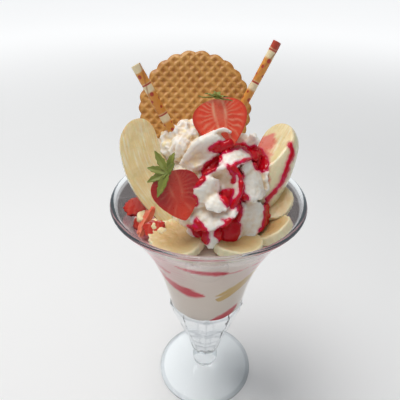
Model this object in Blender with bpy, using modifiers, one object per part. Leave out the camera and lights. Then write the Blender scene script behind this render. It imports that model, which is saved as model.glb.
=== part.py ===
"""An ice cream sundae in a footed glass.

The bowl holds ice cream under whipped cream, with banana halves and coins, strawberries,
a round waffle and two rolled wafers. Metres, +Z up. The origin is the centre of the foot's
flat underside, the glass's axis is +Z, and the sundae's front is at -Y.
"""

import math
from collections import namedtuple

import bmesh
import bpy
from mathutils import Matrix, Vector, noise

MM = 0.001
GAP = 0.3 * MM  # left between pieces that touch

# Glass. The bowl flares from the neck to the rim by a straight share and a curved share.
GLASS_HEIGHT = 177.6 * MM
RIM_RADIUS = 62.0 * MM
WALL = 3.4 * MM
LIP_HEIGHT = GLASS_HEIGHT - WALL / 2  # where the rounded lip starts
NECK_HEIGHT = 90.0 * MM
NECK_RADIUS = 27.5 * MM
STRAIGHT_FLARE = 15.0 * MM
CURVED_FLARE = RIM_RADIUS - NECK_RADIUS - STRAIGHT_FLARE
FLARE_POWER = 2.6
CAVITY_BOTTOM = 81.5 * MM
CAVITY_FALL_POWER = 2.6
CAVITY_ROUND_POWER = 2.0
BOWL_STEPS = 5
CAVITY_STEPS = 5
AROUND_GLASS = 40
PANELS = 10  # flat panels round the solid cone under the bowl
Tier = namedtuple("Tier", "top top_radius bottom bottom_radius")
TIERS = (
    Tier(86.5 * MM, 28.4 * MM, 66.5 * MM, 22.6 * MM),
    Tier(65.5 * MM, 21.7 * MM, 50.0 * MM, 17.4 * MM),
    Tier(49.0 * MM, 16.5 * MM, 42.5 * MM, 14.8 * MM),
    Tier(41.5 * MM, 13.9 * MM, 28.0 * MM, 10.9 * MM),
)
KNOB_CENTRE = 15.0 * MM
KNOB_RADIUS = 10.3 * MM
FOOT_RADIUS = 38.8 * MM
FOOT_EDGE = 1.6 * MM  # radius of the rounded edge
FOOT_MIDDLE = 6.4 * MM  # height of the foot beside the knob

# Ice cream: its level at the wall is just over one of the bowl's steps at the back, is
# higher at the front, and rises to the middle.
LEVEL_STEP = 4
BRIM = 1.0 * MM
FRONT_LIFT = 10.0 * MM
LEVEL_RISE = 6.0 * MM
LEVEL_LUMPS = 1.6 * MM
AROUND_ICE_CREAM = 20

# Whipped cream: a mound with cupped folds on it.
MOUND_CENTRE = Vector((3.0, -8.0, 163.0)) * MM
MOUND_RADII = Vector((33.0, 36.0, 57.0)) * MM
CREAM_CELL = 2.0 * MM
CREAM_FACE_SHARE = 0.086

# Each fold is a ribbon with its root on the mound. It runs from a bearing and height to
# another, bows up by `bow`, is `width` deep at its middle, and turns from `lean` at its
# root by `curl` to its lip. A bearing is 0 at the front and 90 at the right.
Fold = namedtuple("Fold", "start end bow width thickness lean curl")
FOLDS = (
    Fold((-58, 206), (62, 217), 3.0, 13.0, 3.4, 25, 65),
    Fold((5, 212), (84, 204), 4.0, 9.0, 4.0, 40, 30),
    Fold((30, 204), (64, 205), 3.0, 6.0, 4.0, 60, 40),
    Fold((38, 184), (84, 190), 2.0, 13.0, 4.2, 35, 35),
    Fold((-34, 186), (24, 205), -2.0, 12.0, 4.2, 30, 60),
    Fold((26, 208), (20, 190), 4.0, 8.0, 3.6, 60, 50),
    Fold((-12, 190), (16, 199), 1.0, 8.0, 4.0, 40, 50),
    Fold((-28, 180), (26, 190), 2.0, 11.0, 4.6, 35, 50),
    Fold((22, 170), (54, 192), -6.0, 14.0, 3.8, 35, 55),
    Fold((-8, 171), (16, 178), 3.0, 9.0, 5.0, 45, 35),
    Fold((54, 170), (76, 180), 2.0, 9.0, 4.2, 40, 40),
    Fold((92, 200), (150, 208), 3.0, 11.0, 4.2, 35, 45),
    Fold((92, 170), (168, 178), 3.0, 13.0, 4.6, 35, 45),
    Fold((125, 188), (195, 190), 3.0, 10.0, 4.6, 35, 45),
    Fold((190, 190), (255, 194), 3.0, 11.0, 4.6, 35, 45),
    Fold((166, 168), (262, 172), 3.0, 12.0, 4.6, 35, 45),
)
# Rounded heaps of cream behind and beside the mound: centre and radius.
HEAPS = (
    ((-17.0, -1.0, 214.0), 9.0),
    ((-25.0, -2.0, 208.0), 7.5),
    ((-13.0, 1.0, 220.5), 6.5),
    ((-20.0, -9.0, 205.0), 9.0),
    ((24.0, 4.0, 212.0), 6.5),
    ((-10.0, 14.0, 196.0), 13.0),
    ((14.0, 16.0, 194.0), 12.0),
)

# Bananas. A half is cut lengthwise; a coin is a slice.
BANANA_RADIUS = 13.2 * MM
BANANA_TIP = 13.0 * MM  # length of the rounded end
COIN_THICKNESS = 5.5 * MM

# Wafers.
WAFFLE_CENTRE = Vector((-8.8, 24.0, 225.4)) * MM
WAFFLE_RADIUS = 34.7 * MM
WAFFLE_LEAN = 28.0  # degrees back from upright
WAFFLE_THICKNESS = 4.2 * MM
WAFFLE_CELL = 6.0 * MM
WAFFLE_PIT = 0.9 * MM
WAFFLE_SCALLOPS = 26
WAFFLE_SCALLOP_DEPTH = 0.8 * MM

PARTS = "ice_cream_sundae"
CUTTERS = "cutters"


# ---------- scene ----------


def clear_scene():
    for obj in list(bpy.data.objects):
        bpy.data.objects.remove(obj)
    for name in (PARTS, CUTTERS):
        collection = bpy.data.collections.new(name)
        bpy.context.scene.collection.children.link(collection)
    bpy.data.collections[CUTTERS].hide_render = True


def material(name, colour, roughness, transmission=0.0):
    made = bpy.data.materials.new(name)
    made.use_nodes = True
    shader = made.node_tree.nodes["Principled BSDF"]
    shader.inputs["Base Color"].default_value = (*colour, 1.0)
    shader.inputs["Roughness"].default_value = roughness
    shader.inputs["Metallic"].default_value = 0.0
    shader.inputs["Transmission Weight"].default_value = transmission
    return made


def add_object(name, mesh, finish=None, collection=PARTS):
    obj = bpy.data.objects.new(name, mesh)
    bpy.data.collections[collection].objects.link(obj)
    if collection == CUTTERS:
        obj.hide_render = True
        obj.display_type = "WIRE"
    if finish:
        mesh.materials.append(finish)
    return obj


def mesh_from(bm, name):
    mesh = bpy.data.meshes.new(name)
    bmesh.ops.recalc_face_normals(bm, faces=bm.faces)
    bm.to_mesh(mesh)
    bm.free()
    return mesh


def evaluated_mesh(obj):
    """The object's mesh with its modifiers applied, in the object's own space."""
    bpy.context.view_layer.update()
    graph = bpy.context.evaluated_depsgraph_get()
    return bpy.data.meshes.new_from_object(obj.evaluated_get(graph))


def replace_object(obj, mesh):
    """Puts an object holding `mesh` in the place of `obj`, under the same name."""
    name = obj.name
    collection = obj.users_collection[0].name
    place = obj.matrix_world.copy()
    bpy.data.objects.remove(obj)
    made = add_object(name, mesh, collection=collection)
    made.matrix_world = place
    return made


def biggest_body(mesh):
    """Deletes every loose scrap that a cut left, and keeps the largest body."""
    bm = bmesh.new()
    bm.from_mesh(mesh)
    left = set(bm.verts)
    bodies = []
    while left:
        body = {left.pop()}
        edge_of_search = list(body)
        while edge_of_search:
            vertex = edge_of_search.pop()
            for edge in vertex.link_edges:
                other = edge.other_vert(vertex)
                if other in left:
                    left.remove(other)
                    body.add(other)
                    edge_of_search.append(other)
        bodies.append(body)
    bodies.sort(key=len)
    for scrap in bodies[:-1]:
        bmesh.ops.delete(bm, geom=list(scrap), context="VERTS")
    bm.to_mesh(mesh)
    bm.free()


def cut(obj, cutters, keep_inside=None):
    """Cuts the cutters out of the object, and what lies outside `keep_inside`."""
    for cutter in cutters:
        modifier = obj.modifiers.new(f"without {cutter.name}", "BOOLEAN")
        modifier.operation = "DIFFERENCE"
        modifier.object = cutter
    if keep_inside:
        modifier = obj.modifiers.new(f"inside {keep_inside.name}", "BOOLEAN")
        modifier.operation = "INTERSECT"
        modifier.object = keep_inside
    mesh = evaluated_mesh(obj)
    biggest_body(mesh)
    return replace_object(obj, mesh)


def smooth(obj, angle=40.0):
    obj.data.shade_smooth()
    obj.data.set_sharp_from_angle(angle=math.radians(angle))


def frame_of(along, facing):
    """A rotation whose +Z is `along` and whose -Y is as near to `facing` as can be."""
    z = Vector(along).normalized()
    y = -(Vector(facing) - z * Vector(facing).dot(z)).normalized()
    x = y.cross(z)
    return Matrix((x, y, z)).transposed().to_4x4()


# ---------- turned shapes ----------


def turned(name, profile, steps, collection=PARTS):
    """A profile of (radius, height) points, ends on the axis, turned about Z."""
    mesh = bpy.data.meshes.new(name)
    points = [(radius, 0.0, height) for radius, height in profile]
    mesh.from_pydata(points, [(i, i + 1) for i in range(len(points) - 1)], [])
    obj = add_object(name, mesh, collection=collection)
    screw = obj.modifiers.new("turn", "SCREW")
    screw.steps = steps
    screw.render_steps = steps
    screw.use_merge_vertices = True
    screw.merge_threshold = 0.1 * MM
    return replace_object(obj, evaluated_mesh(obj))


def bowl_radius(height):
    """The outside of the flared bowl."""
    share = (height - NECK_HEIGHT) / (LIP_HEIGHT - NECK_HEIGHT)
    return NECK_RADIUS + STRAIGHT_FLARE * share + CURVED_FLARE * share**FLARE_POWER


def bowl_heights():
    rise = (LIP_HEIGHT - NECK_HEIGHT) / BOWL_STEPS
    return [NECK_HEIGHT + rise * i for i in range(BOWL_STEPS + 1)]


def cavity_profile(inset=0.0):
    """The inside of the bowl from its bottom's middle to the lip, moved in by `inset`."""
    neck = NECK_RADIUS - WALL
    depth = NECK_HEIGHT - CAVITY_BOTTOM
    profile = []
    for i in range(CAVITY_STEPS):
        turn = math.radians(90.0 - 90.0 * i / CAVITY_STEPS)
        fall = depth * math.sin(turn) ** (2 / CAVITY_FALL_POWER)
        radius = neck * max(math.cos(turn), 0.0) ** (2 / CAVITY_ROUND_POWER)
        profile.append((max(radius - inset, 0.0) if i else 0.0, NECK_HEIGHT - fall + inset))
    return profile + [(bowl_radius(z) - WALL - inset, z) for z in bowl_heights()]


def arc(centre_radius, centre_height, radius, start, end, steps):
    """Points on a round of the profile, with its angles in degrees from +X."""
    angles = [math.radians(start + (end - start) * i / steps) for i in range(steps + 1)]
    return [
        (centre_radius + radius * math.cos(a), centre_height + radius * math.sin(a))
        for a in angles
    ]


def glass_profile():
    lip = arc(RIM_RADIUS - WALL / 2, LIP_HEIGHT, WALL / 2, 180.0, 0.0, 4)
    outside = [(bowl_radius(z), z) for z in reversed(bowl_heights())]
    cone = []
    for tier in TIERS:
        cone += [(tier.top_radius, tier.top), (tier.bottom_radius, tier.bottom)]
    knob = arc(0.0, KNOB_CENTRE, KNOB_RADIUS, 48.0, -44.0, 3)
    foot = [(0.5 * FOOT_RADIUS, 0.7 * FOOT_MIDDLE)]
    edge = arc(FOOT_RADIUS - FOOT_EDGE, FOOT_EDGE, FOOT_EDGE, 80.0, -90.0, 3)
    return cavity_profile() + lip[1:-1] + outside + cone + knob + foot + edge + [(0.0, 0.0)]


def flatten_panels(mesh):
    """Brings the cone's points in to the flats of its panels, with one edge at the front."""
    panel = 2 * math.pi / PANELS
    ends = [height for tier in TIERS for height in (tier.top, tier.bottom)]
    for vertex in mesh.vertices:
        if min(abs(vertex.co.z - height) for height in ends) > 0.01 * MM:
            continue
        turn = (math.atan2(vertex.co.y, vertex.co.x) + math.pi / 2) % panel
        scale = math.cos(panel / 2) / math.cos(turn - panel / 2)
        vertex.co.x *= scale
        vertex.co.y *= scale


def make_glass():
    glass = turned("glass", glass_profile(), AROUND_GLASS)
    flatten_panels(glass.data)
    glass.data.materials.append(material("clear_glass", (0.86, 0.91, 0.93), 0.03, 1.0))
    smooth(glass, 25.0)
    return glass


def room_in_glass():
    """The space inside the bowl and straight up from it, clear of the wall."""
    wall = cavity_profile(GAP)
    above = GLASS_HEIGHT + 30.0 * MM
    top = [(0.0, above), (wall[-1][0], above)]
    return turned("room_in_glass", top + list(reversed(wall)), AROUND_GLASS, CUTTERS)


def ice_cream_body(name, grow=0.0, collection=PARTS):
    """The ice cream up to its lumpy level; `grow` lifts the level for cutting."""
    wall = cavity_profile(GAP)[: CAVITY_STEPS + LEVEL_STEP + 1]
    level = wall[-1][1] + BRIM
    brim_radius = bowl_radius(level) - WALL - GAP
    steps = 5
    top = [
        (brim_radius * (1 - i / steps), level + LEVEL_RISE * math.sin(math.pi / 2 * i / steps))
        for i in range(steps + 1)
    ]
    obj = turned(name, list(reversed(top)) + list(reversed(wall)), AROUND_ICE_CREAM, collection)
    for vertex in obj.data.vertices:
        if vertex.co.z < level - 0.1 * MM:
            continue
        across = Vector((vertex.co.x, vertex.co.y)).length
        share = across / brim_radius
        front = 0.5 - 0.5 * vertex.co.y / max(across, GAP)
        lift = FRONT_LIFT * front**3 * share**2
        spread = (bowl_radius(level + lift) - WALL - GAP) / brim_radius
        lump = LEVEL_LUMPS * noise.noise(vertex.co / (16.0 * MM)) * (1 - share**4)
        vertex.co.x *= spread
        vertex.co.y *= spread
        vertex.co.z += lift + lump + grow
    return obj


# ---------- whipped cream ----------


def on_mound(bearing, height):
    """A point of the mound's surface, and the direction out of it."""
    turn = math.radians(bearing)
    lift = (height * MM - MOUND_CENTRE.z) / MOUND_RADII.z
    share = math.sqrt(max(1 - lift * lift, 0.0))
    unit = Vector((share * math.sin(turn), -share * math.cos(turn), lift))
    point = MOUND_CENTRE + unit * MOUND_RADII
    outward = Vector([u / r for u, r in zip(unit, MOUND_RADII)]).normalized()
    return point, outward


def fold_surface(fold, along, across):
    """The point of a fold at `along` (0 to 1, end to end) and `across` (0 root, 1 lip)."""
    swell = math.sin(math.pi * along)

    def root(share):
        bearing = fold.start[0] + (fold.end[0] - fold.start[0]) * share
        height = fold.start[1] + (fold.end[1] - fold.start[1]) * share
        return on_mound(bearing, height + fold.bow * math.sin(math.pi * share))

    point, outward = root(along)
    step = 0.02
    before = root(max(along - step, 0.0))[0]
    after = root(min(along + step, 1.0))[0]
    run = (after - before).normalized()
    upward = outward.cross(run).normalized()
    if upward.z < 0:
        upward = -upward
    depth = fold.width * MM * (0.35 + 0.65 * math.sqrt(swell))
    lean, curl = math.radians(fold.lean), math.radians(fold.curl)
    turn_radius = depth / curl
    angle = lean + curl * across
    rise = turn_radius * (math.sin(angle) - math.sin(lean))
    out = turn_radius * (math.cos(lean) - math.cos(angle))
    return point - outward * 2.0 * MM + upward * rise + outward * out


def fold_mesh(fold, name):
    """A grid laid on the fold's surface and thickened."""
    bm = bmesh.new()
    bmesh.ops.create_grid(bm, x_segments=12, y_segments=4, size=0.5)
    for vertex in bm.verts:
        vertex.co = fold_surface(fold, vertex.co.x + 0.5, vertex.co.y + 0.5)
    obj = add_object(name, mesh_from(bm, name), collection=CUTTERS)
    thicken = obj.modifiers.new("thickness", "SOLIDIFY")
    thicken.thickness = fold.thickness * MM
    thicken.offset = 0.0
    return obj


def ball(name, centre, radius, segments=16):
    bm = bmesh.new()
    bmesh.ops.create_uvsphere(bm, u_segments=segments, v_segments=segments // 2, radius=1.0)
    bmesh.ops.scale(bm, vec=radius, verts=bm.verts)
    bmesh.ops.translate(bm, vec=centre, verts=bm.verts)
    return add_object(name, mesh_from(bm, name), collection=CUTTERS)


def make_cream(neighbours):
    shapes = [ball("mound", MOUND_CENTRE, MOUND_RADII, 32)]
    for number, (centre, radius) in enumerate(HEAPS):
        size = Vector((radius, radius, radius)) * MM
        shapes.append(ball(f"heap_{number}", Vector(centre) * MM, size))
    for number, fold in enumerate(FOLDS):
        shapes.append(fold_mesh(fold, f"fold_{number}"))
    bm = bmesh.new()
    for shape in shapes:
        bm.from_mesh(evaluated_mesh(shape))
        bpy.data.objects.remove(shape)
    cream = add_object("whipped_cream", mesh_from(bm, "whipped_cream"))
    remesh = cream.modifiers.new("one skin", "REMESH")
    remesh.mode = "VOXEL"
    remesh.voxel_size = CREAM_CELL
    soften = cream.modifiers.new("soften", "SMOOTH")
    soften.factor = 0.4
    soften.iterations = 2
    thin = cream.modifiers.new("fewer faces", "DECIMATE")
    thin.ratio = CREAM_FACE_SHARE
    cream = replace_object(cream, evaluated_mesh(cream))
    cream = cut(cream, neighbours)
    cream.data.materials.append(material("cream", (0.93, 0.90, 0.84), 0.55))
    smooth(cream, 60.0)
    return cream


# ---------- fruit ----------


def tube_mesh(name, points, radii, sides=3, collection=CUTTERS):
    """A straight-sectioned tube through the points, closed at both ends, as a mesh."""
    curve = bpy.data.curves.new(name, "CURVE")
    curve.dimensions = "3D"
    curve.bevel_depth = 1.0
    curve.bevel_resolution = sides
    curve.use_fill_caps = True
    spline = curve.splines.new("POLY")
    spline.points.add(len(points) - 1)
    for knot, point, radius in zip(spline.points, points, radii):
        knot.co = (*point, 1.0)
        knot.radius = radius
    obj = bpy.data.objects.new(name, curve)
    bpy.data.collections[collection].objects.link(obj)
    bm = bmesh.new()
    bm.from_mesh(evaluated_mesh(obj))
    bpy.data.objects.remove(obj)
    bmesh.ops.remove_doubles(bm, verts=bm.verts, dist=0.01 * MM)
    return bm


def keep_side(bm, point, outward):
    """Cuts off what lies beyond a plane, and closes the cut."""
    geometry = bm.verts[:] + bm.edges[:] + bm.faces[:]
    made = bmesh.ops.bisect_plane(
        bm, geom=geometry, plane_co=point, plane_no=outward, clear_outer=True
    )
    edges = [part for part in made["geom_cut"] if isinstance(part, bmesh.types.BMEdge)]
    bmesh.ops.holes_fill(bm, edges=edges)


# The cut crosses the banana's axis at the share `cut` of its length, `slant` degrees from it.
Half = namedtuple("Half", "foot tip facing bend cut slant")
BANANA_HALVES = {
    "banana_half_left": Half(
        (-17.5, -20.5, 175.0), (-44.0, 5.5, 225.5), (0.50, -0.75, 0.44), -6.0, 0.0, 0.0
    ),
    "banana_half_right": Half(
        (18.7, -14.0, 168.5), (46.7, 13.5, 220.0), (-0.66, -0.42, 0.60), 5.0, 1.02, 20.0
    ),
}


def banana_half(name, half, grow=0.0, collection=PARTS):
    """A banana's end, cut lengthwise: its flat side faces `facing`, its tip is round."""
    foot, tip = Vector(half.foot) * MM, Vector(half.tip) * MM
    length = (tip - foot).length
    body = [(1 - BANANA_TIP / length) * i / 5 for i in range(5)]
    end = [1 - BANANA_TIP / length * math.cos(math.pi / 2 * i / 6) for i in range(7)]
    points, radii = [], []
    for share in body + end:
        rest = length * (1 - share)
        round_share = min(rest / BANANA_TIP, 1.0)
        radius = BANANA_RADIUS * math.sqrt(max(1 - (1 - round_share) ** 2, 0.0))
        radius *= 0.90 + 0.10 * math.sin(math.pi * min(share * 1.2, 1.0))
        bow = half.bend * MM * math.sin(math.pi * share)
        points.append(Vector((bow, 0.0, length * share)))
        radii.append(max(radius, 1.2 * MM) + grow)
    points[-1].z += grow
    bm = tube_mesh(name, points, radii)
    slant = math.radians(half.slant)
    outward = Vector((0.0, -math.cos(slant), math.sin(slant)))
    keep_side(bm, Vector((0.0, 0.0, length * half.cut)) + outward * grow, outward)
    obj = add_object(name, mesh_from(bm, name), collection=collection)
    obj.matrix_world = Matrix.Translation(foot) @ frame_of(tip - foot, half.facing)
    return obj


Coin = namedtuple("Coin", "centre facing radius")
BANANA_COINS = {
    "banana_coin_front_left": Coin((-17.5, -39.0, 172.7), (-0.10, -0.06, 0.99), 16.6),
    "banana_coin_front_right": Coin((15.5, -41.5, 172.5), (0.06, 0.05, 0.99), 14.0),
    "banana_coin_right": Coin((38.5, -14.0, 181.5), (-0.20, -0.50, 0.84), 12.0),
    "banana_coin_right_low": Coin((36.5, -30.5, 172.5), (-0.50, 0.22, 0.84), 12.0),
    "banana_coin_in_glass": Coin((14.0, -18.0, 121.5), (-0.46, -0.34, 0.82), 16.0),
}


def banana_coin(name, coin, grow=0.0, collection=PARTS):
    """A slice of banana, not quite round, with its edges rounded."""
    sides = 20
    bm = bmesh.new()
    radius = coin.radius * MM + grow
    bmesh.ops.create_cone(
        bm,
        cap_ends=True,
        segments=sides,
        radius1=radius,
        radius2=radius,
        depth=COIN_THICKNESS + 2 * grow,
    )
    for vertex in bm.verts:
        turn = math.atan2(vertex.co.y, vertex.co.x)
        wobble = 1 + 0.03 * math.cos(3 * turn + coin.radius) + 0.02 * math.cos(5 * turn)
        vertex.co.x *= wobble
        vertex.co.y *= wobble
    rims = [edge for edge in bm.edges if any(len(face.verts) > 4 for face in edge.link_faces)]
    bmesh.ops.bevel(bm, geom=rims, offset=0.8 * MM, segments=1, affect="EDGES")
    obj = add_object(name, mesh_from(bm, name), collection=collection)
    place = Matrix.Translation(Vector(coin.centre) * MM)
    obj.matrix_world = place @ frame_of(coin.facing, (0.0, -1.0, 0.0))
    return obj


Berry = namedtuple("Berry", "crown tip facing radius")
BERRIES = {
    "strawberry_half_top": Berry(
        (3.2, -9.5, 243.5), (9.0, -21.0, 218.0), (-0.05, -0.90, 0.42), 14.6
    ),
    "strawberry_half_front": Berry(
        (-20.5, -37.5, 215.0), (-12.5, -48.0, 191.8), (0.12, -0.86, 0.50), 12.8
    ),
}


def berry_radius(share):
    """The outline of a strawberry, from its crown (0) to its tip (1), as a share."""
    return math.sin(math.pi * share**0.62) ** 0.72


def berry_half(name, berry, grow=0.0, collection=PARTS):
    """Half a strawberry: turned, then cut lengthwise with its flat side to `facing`."""
    crown, tip = Vector(berry.crown) * MM, Vector(berry.tip) * MM
    length = (tip - crown).length
    steps = 9
    profile = [(0.0, grow)]
    for i in range(1, steps):
        share = i / steps
        radius = berry.radius * MM * berry_radius(share)
        profile.append((radius + grow, -length * share))
    profile.append((0.0, -length - grow))
    obj = turned(name, profile, 20, collection)
    bm = bmesh.new()
    bm.from_mesh(obj.data)
    keep_side(bm, (0.0, -grow, 0.0), (0.0, -1.0, 0.0))
    bm.to_mesh(obj.data)
    bm.free()
    obj.matrix_world = Matrix.Translation(crown) @ frame_of(crown - tip, berry.facing)
    return obj


Chunk = namedtuple("Chunk", "centre along facing size")
STRAWBERRY_CHUNKS = {
    "strawberry_piece_back": Chunk(
        (-44.0, -11.5, 175.5), (-0.95, 0.10, -0.25), (0.2, -0.6, 0.8), (6.0, 4.6, 8.5)
    ),
    "strawberry_piece_low": Chunk(
        (-41.5, -21.0, 170.0), (0.4, 0.3, 0.8), (-0.3, -0.6, 0.7), (4.2, 4.0, 5.0)
    ),
    "strawberry_piece_slice": Chunk(
        (-36.5, -27.5, 176.0), (0.42, 0.50, 0.76), (0.6, -0.7, 0.3), (2.0, 5.0, 9.5)
    ),
    "strawberry_piece_front": Chunk(
        (-31.5, -32.0, 174.6), (0.9, 0.1, 0.3), (0.0, -0.7, 0.7), (4.2, 4.0, 6.0)
    ),
}


def strawberry_chunk(name, chunk, grow=0.0, collection=PARTS):
    """A cut piece of strawberry: a stretched ball with one side sliced flat."""
    bm = bmesh.new()
    bmesh.ops.create_uvsphere(bm, u_segments=10, v_segments=6, radius=1.0)
    size = Vector(chunk.size) * MM + Vector((grow, grow, grow))
    bmesh.ops.scale(bm, vec=size, verts=bm.verts)
    keep_side(bm, (0.0, -0.35 * size.y - grow, 0.0), (0.0, -1.0, 0.0))
    obj = add_object(name, mesh_from(bm, name), collection=collection)
    place = Matrix.Translation(Vector(chunk.centre) * MM)
    obj.matrix_world = place @ frame_of(chunk.along, chunk.facing)
    return obj


# The leaves fan out from `first`, one every `apart` degrees, seen from above the crown.
Calyx = namedtuple("Calyx", "centre facing radius leaves first apart droop")
CALYXES = {
    "calyx_top": Calyx((3.6, -8.4, 246.6), (0.12, 0.30, 0.94), 10.5, 5, 0.0, 45.0, 0.020),
    "calyx_front": Calyx((-22.6, -40.6, 215.8), (-0.28, -0.78, 0.56), 11.5, 5, 45.0, 45.0, 0.004),
}


def calyx(name, star, grow=0.0, collection=PARTS):
    """The leafy star on a strawberry's crown, with its leaves bent down."""
    directions = [math.radians(star.first + star.apart * i) for i in range(star.leaves)]
    bm = bmesh.new()
    bmesh.ops.create_circle(bm, cap_ends=True, cap_tris=True, segments=40, radius=1.0)
    for vertex in bm.verts:
        reach = vertex.co.length
        turn = math.atan2(vertex.co.y, vertex.co.x)
        nearest = max(math.cos(turn - direction) for direction in directions)
        leaf = max(nearest, 0.0) ** 30
        radius = reach * star.radius * MM * (0.18 + 0.82 * leaf)
        fall = star.droop * radius * radius / MM
        vertex.co = Vector((radius * math.cos(turn), radius * math.sin(turn), -fall))
    obj = add_object(name, mesh_from(bm, name), collection=collection)
    thicken = obj.modifiers.new("thickness", "SOLIDIFY")
    thicken.thickness = 0.7 * MM + 2 * grow
    thicken.offset = 0.0
    obj = replace_object(obj, evaluated_mesh(obj))
    place = Matrix.Translation(Vector(star.centre) * MM)
    obj.matrix_world = place @ frame_of(star.facing, (0.0, -1.0, 0.0))
    return obj


# ---------- wafers ----------


def waffle_place():
    return Matrix.Translation(WAFFLE_CENTRE) @ Matrix.Rotation(math.radians(-WAFFLE_LEAN), 4, "X")


def waffle_outline(name, grow, thickness, collection):
    """The scalloped disc, upright, with its axis along Y."""
    bm = bmesh.new()
    radius = WAFFLE_RADIUS + grow
    segments = WAFFLE_SCALLOPS * 2
    bmesh.ops.create_cone(
        bm, cap_ends=True, segments=segments, radius1=radius, radius2=radius, depth=thickness
    )
    for vertex in bm.verts:
        turn = math.atan2(vertex.co.y, vertex.co.x)
        scallop = WAFFLE_SCALLOP_DEPTH * math.cos(WAFFLE_SCALLOPS * turn) - WAFFLE_SCALLOP_DEPTH
        reach = (radius + scallop) / radius
        vertex.co.x *= reach
        vertex.co.y *= reach
    bmesh.ops.rotate(bm, cent=(0, 0, 0), matrix=Matrix.Rotation(math.pi / 2, 3, "X"), verts=bm.verts)
    obj = add_object(name, mesh_from(bm, name), collection=collection)
    obj.matrix_world = waffle_place()
    return obj


def make_waffle():
    """A disc with square pits, set cornerwise, on both faces."""
    outline = waffle_outline("waffle_outline", 0.0, 2 * WAFFLE_THICKNESS, CUTTERS)
    cells = 2 * math.ceil(WAFFLE_RADIUS / WAFFLE_CELL) + 1
    bm = bmesh.new()
    bmesh.ops.create_grid(bm, x_segments=cells, y_segments=cells, size=cells * WAFFLE_CELL / 2)
    bmesh.ops.poke(bm, faces=bm.faces[:], offset=-WAFFLE_PIT)
    border = [edge for edge in bm.edges if edge.is_boundary]
    made = bmesh.ops.extrude_edge_only(bm, edges=border)
    skirt = [part for part in made["geom"] if isinstance(part, bmesh.types.BMVert)]
    bmesh.ops.translate(bm, vec=(0, 0, -WAFFLE_THICKNESS / 2), verts=skirt)
    bmesh.ops.translate(bm, vec=(0, 0, WAFFLE_THICKNESS / 2), verts=bm.verts)
    slab = add_object("waffle_disc", mesh_from(bm, "waffle_disc"))
    mirror = slab.modifiers.new("both faces", "MIRROR")
    mirror.use_axis = (False, False, True)
    mirror.merge_threshold = 0.05 * MM
    cornerwise = Matrix.Rotation(math.radians(45.0), 4, "Z")
    upright = Matrix.Rotation(math.pi / 2, 4, "X")
    slab.matrix_world = waffle_place() @ upright @ cornerwise
    trim = slab.modifiers.new("outline", "BOOLEAN")
    trim.operation = "INTERSECT"
    trim.object = outline
    waffle = replace_object(slab, evaluated_mesh(slab))
    bpy.data.objects.remove(outline)
    return waffle


Stick = namedtuple("Stick", "foot tip radius")
WAFER_STICKS = {
    "wafer_stick_left": Stick((-15.4, 6.2, 204.7), (-41.9, 12.2, 254.7), 2.9),
    "wafer_stick_right": Stick((6.0, 1.8, 208.0), (36.2, 15.1, 267.0), 2.5),
}


def wafer_stick(name, stick, grow=0.0, collection=PARTS):
    foot, tip = Vector(stick.foot) * MM, Vector(stick.tip) * MM
    along = (tip - foot).normalized() * grow
    radius = stick.radius * MM + grow
    bm = tube_mesh(name, [foot - along, tip + along], [radius, radius])
    return add_object(name, mesh_from(bm, name), collection=collection)


# ---------- the sundae ----------


def make_pieces():
    """Every whole piece of fruit and wafer, and a slightly larger copy of each for cutting."""
    families = (
        (BANANA_HALVES, banana_half, material("banana", (0.88, 0.76, 0.50), 0.45)),
        (BANANA_COINS, banana_coin, material("banana_coin", (0.86, 0.72, 0.46), 0.45)),
        (BERRIES, berry_half, material("strawberry", (0.70, 0.07, 0.03), 0.35)),
        (STRAWBERRY_CHUNKS, strawberry_chunk, material("berry_piece", (0.60, 0.04, 0.04), 0.3)),
        (CALYXES, calyx, material("strawberry_leaf", (0.16, 0.27, 0.06), 0.5)),
        (WAFER_STICKS, wafer_stick, material("rolled_wafer", (0.82, 0.52, 0.16), 0.5)),
    )
    pieces, cutters = {}, {}
    for table, build, finish in families:
        for name, values in table.items():
            pieces[name] = build(name, values)
            pieces[name].data.materials.append(finish)
            smooth(pieces[name])
            cutters[name] = build(f"room_for_{name}", values, GAP, CUTTERS)
    room = room_in_glass()
    in_the_way = [cutters[name] for name in BANANA_HALVES]
    for name in [*BANANA_COINS, *STRAWBERRY_CHUNKS]:
        pieces[name] = cut(pieces[name], in_the_way, room)
        smooth(pieces[name])
        in_the_way.append(cutters[name])
    pieces["waffle_disc"] = make_waffle()
    pieces["waffle_disc"].data.materials.append(material("waffle", (0.58, 0.27, 0.07), 0.6))
    room = WAFFLE_THICKNESS + 2 * GAP
    cutters["waffle_disc"] = waffle_outline("room_for_waffle_disc", GAP, room, CUTTERS)
    return pieces, cutters


def main():
    clear_scene()
    make_glass()
    pieces, cutters = make_pieces()
    ice_cream = ice_cream_body("ice_cream")
    in_ice_cream = ("banana", "strawberry_piece")
    sunk = [cutter for name, cutter in cutters.items() if name.startswith(in_ice_cream)]
    ice_cream = cut(ice_cream, sunk)
    ice_cream.data.materials.append(material("vanilla", (0.80, 0.74, 0.66), 0.6))
    smooth(ice_cream)
    below = ice_cream_body("room_for_ice_cream", GAP, CUTTERS)
    make_cream([below, *cutters.values()])


main()
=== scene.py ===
"""The looks of an ice cream sundae in a footed glass.

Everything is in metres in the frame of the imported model: +Z up, the glass's axis on Z, the
sundae's front at -Y. Tables of places and sizes are in millimetres and are scaled by MM.
"""

import math
from collections import namedtuple

import bmesh
import bpy
from mathutils import Matrix, Vector, noise
from mathutils.kdtree import KDTree


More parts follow.
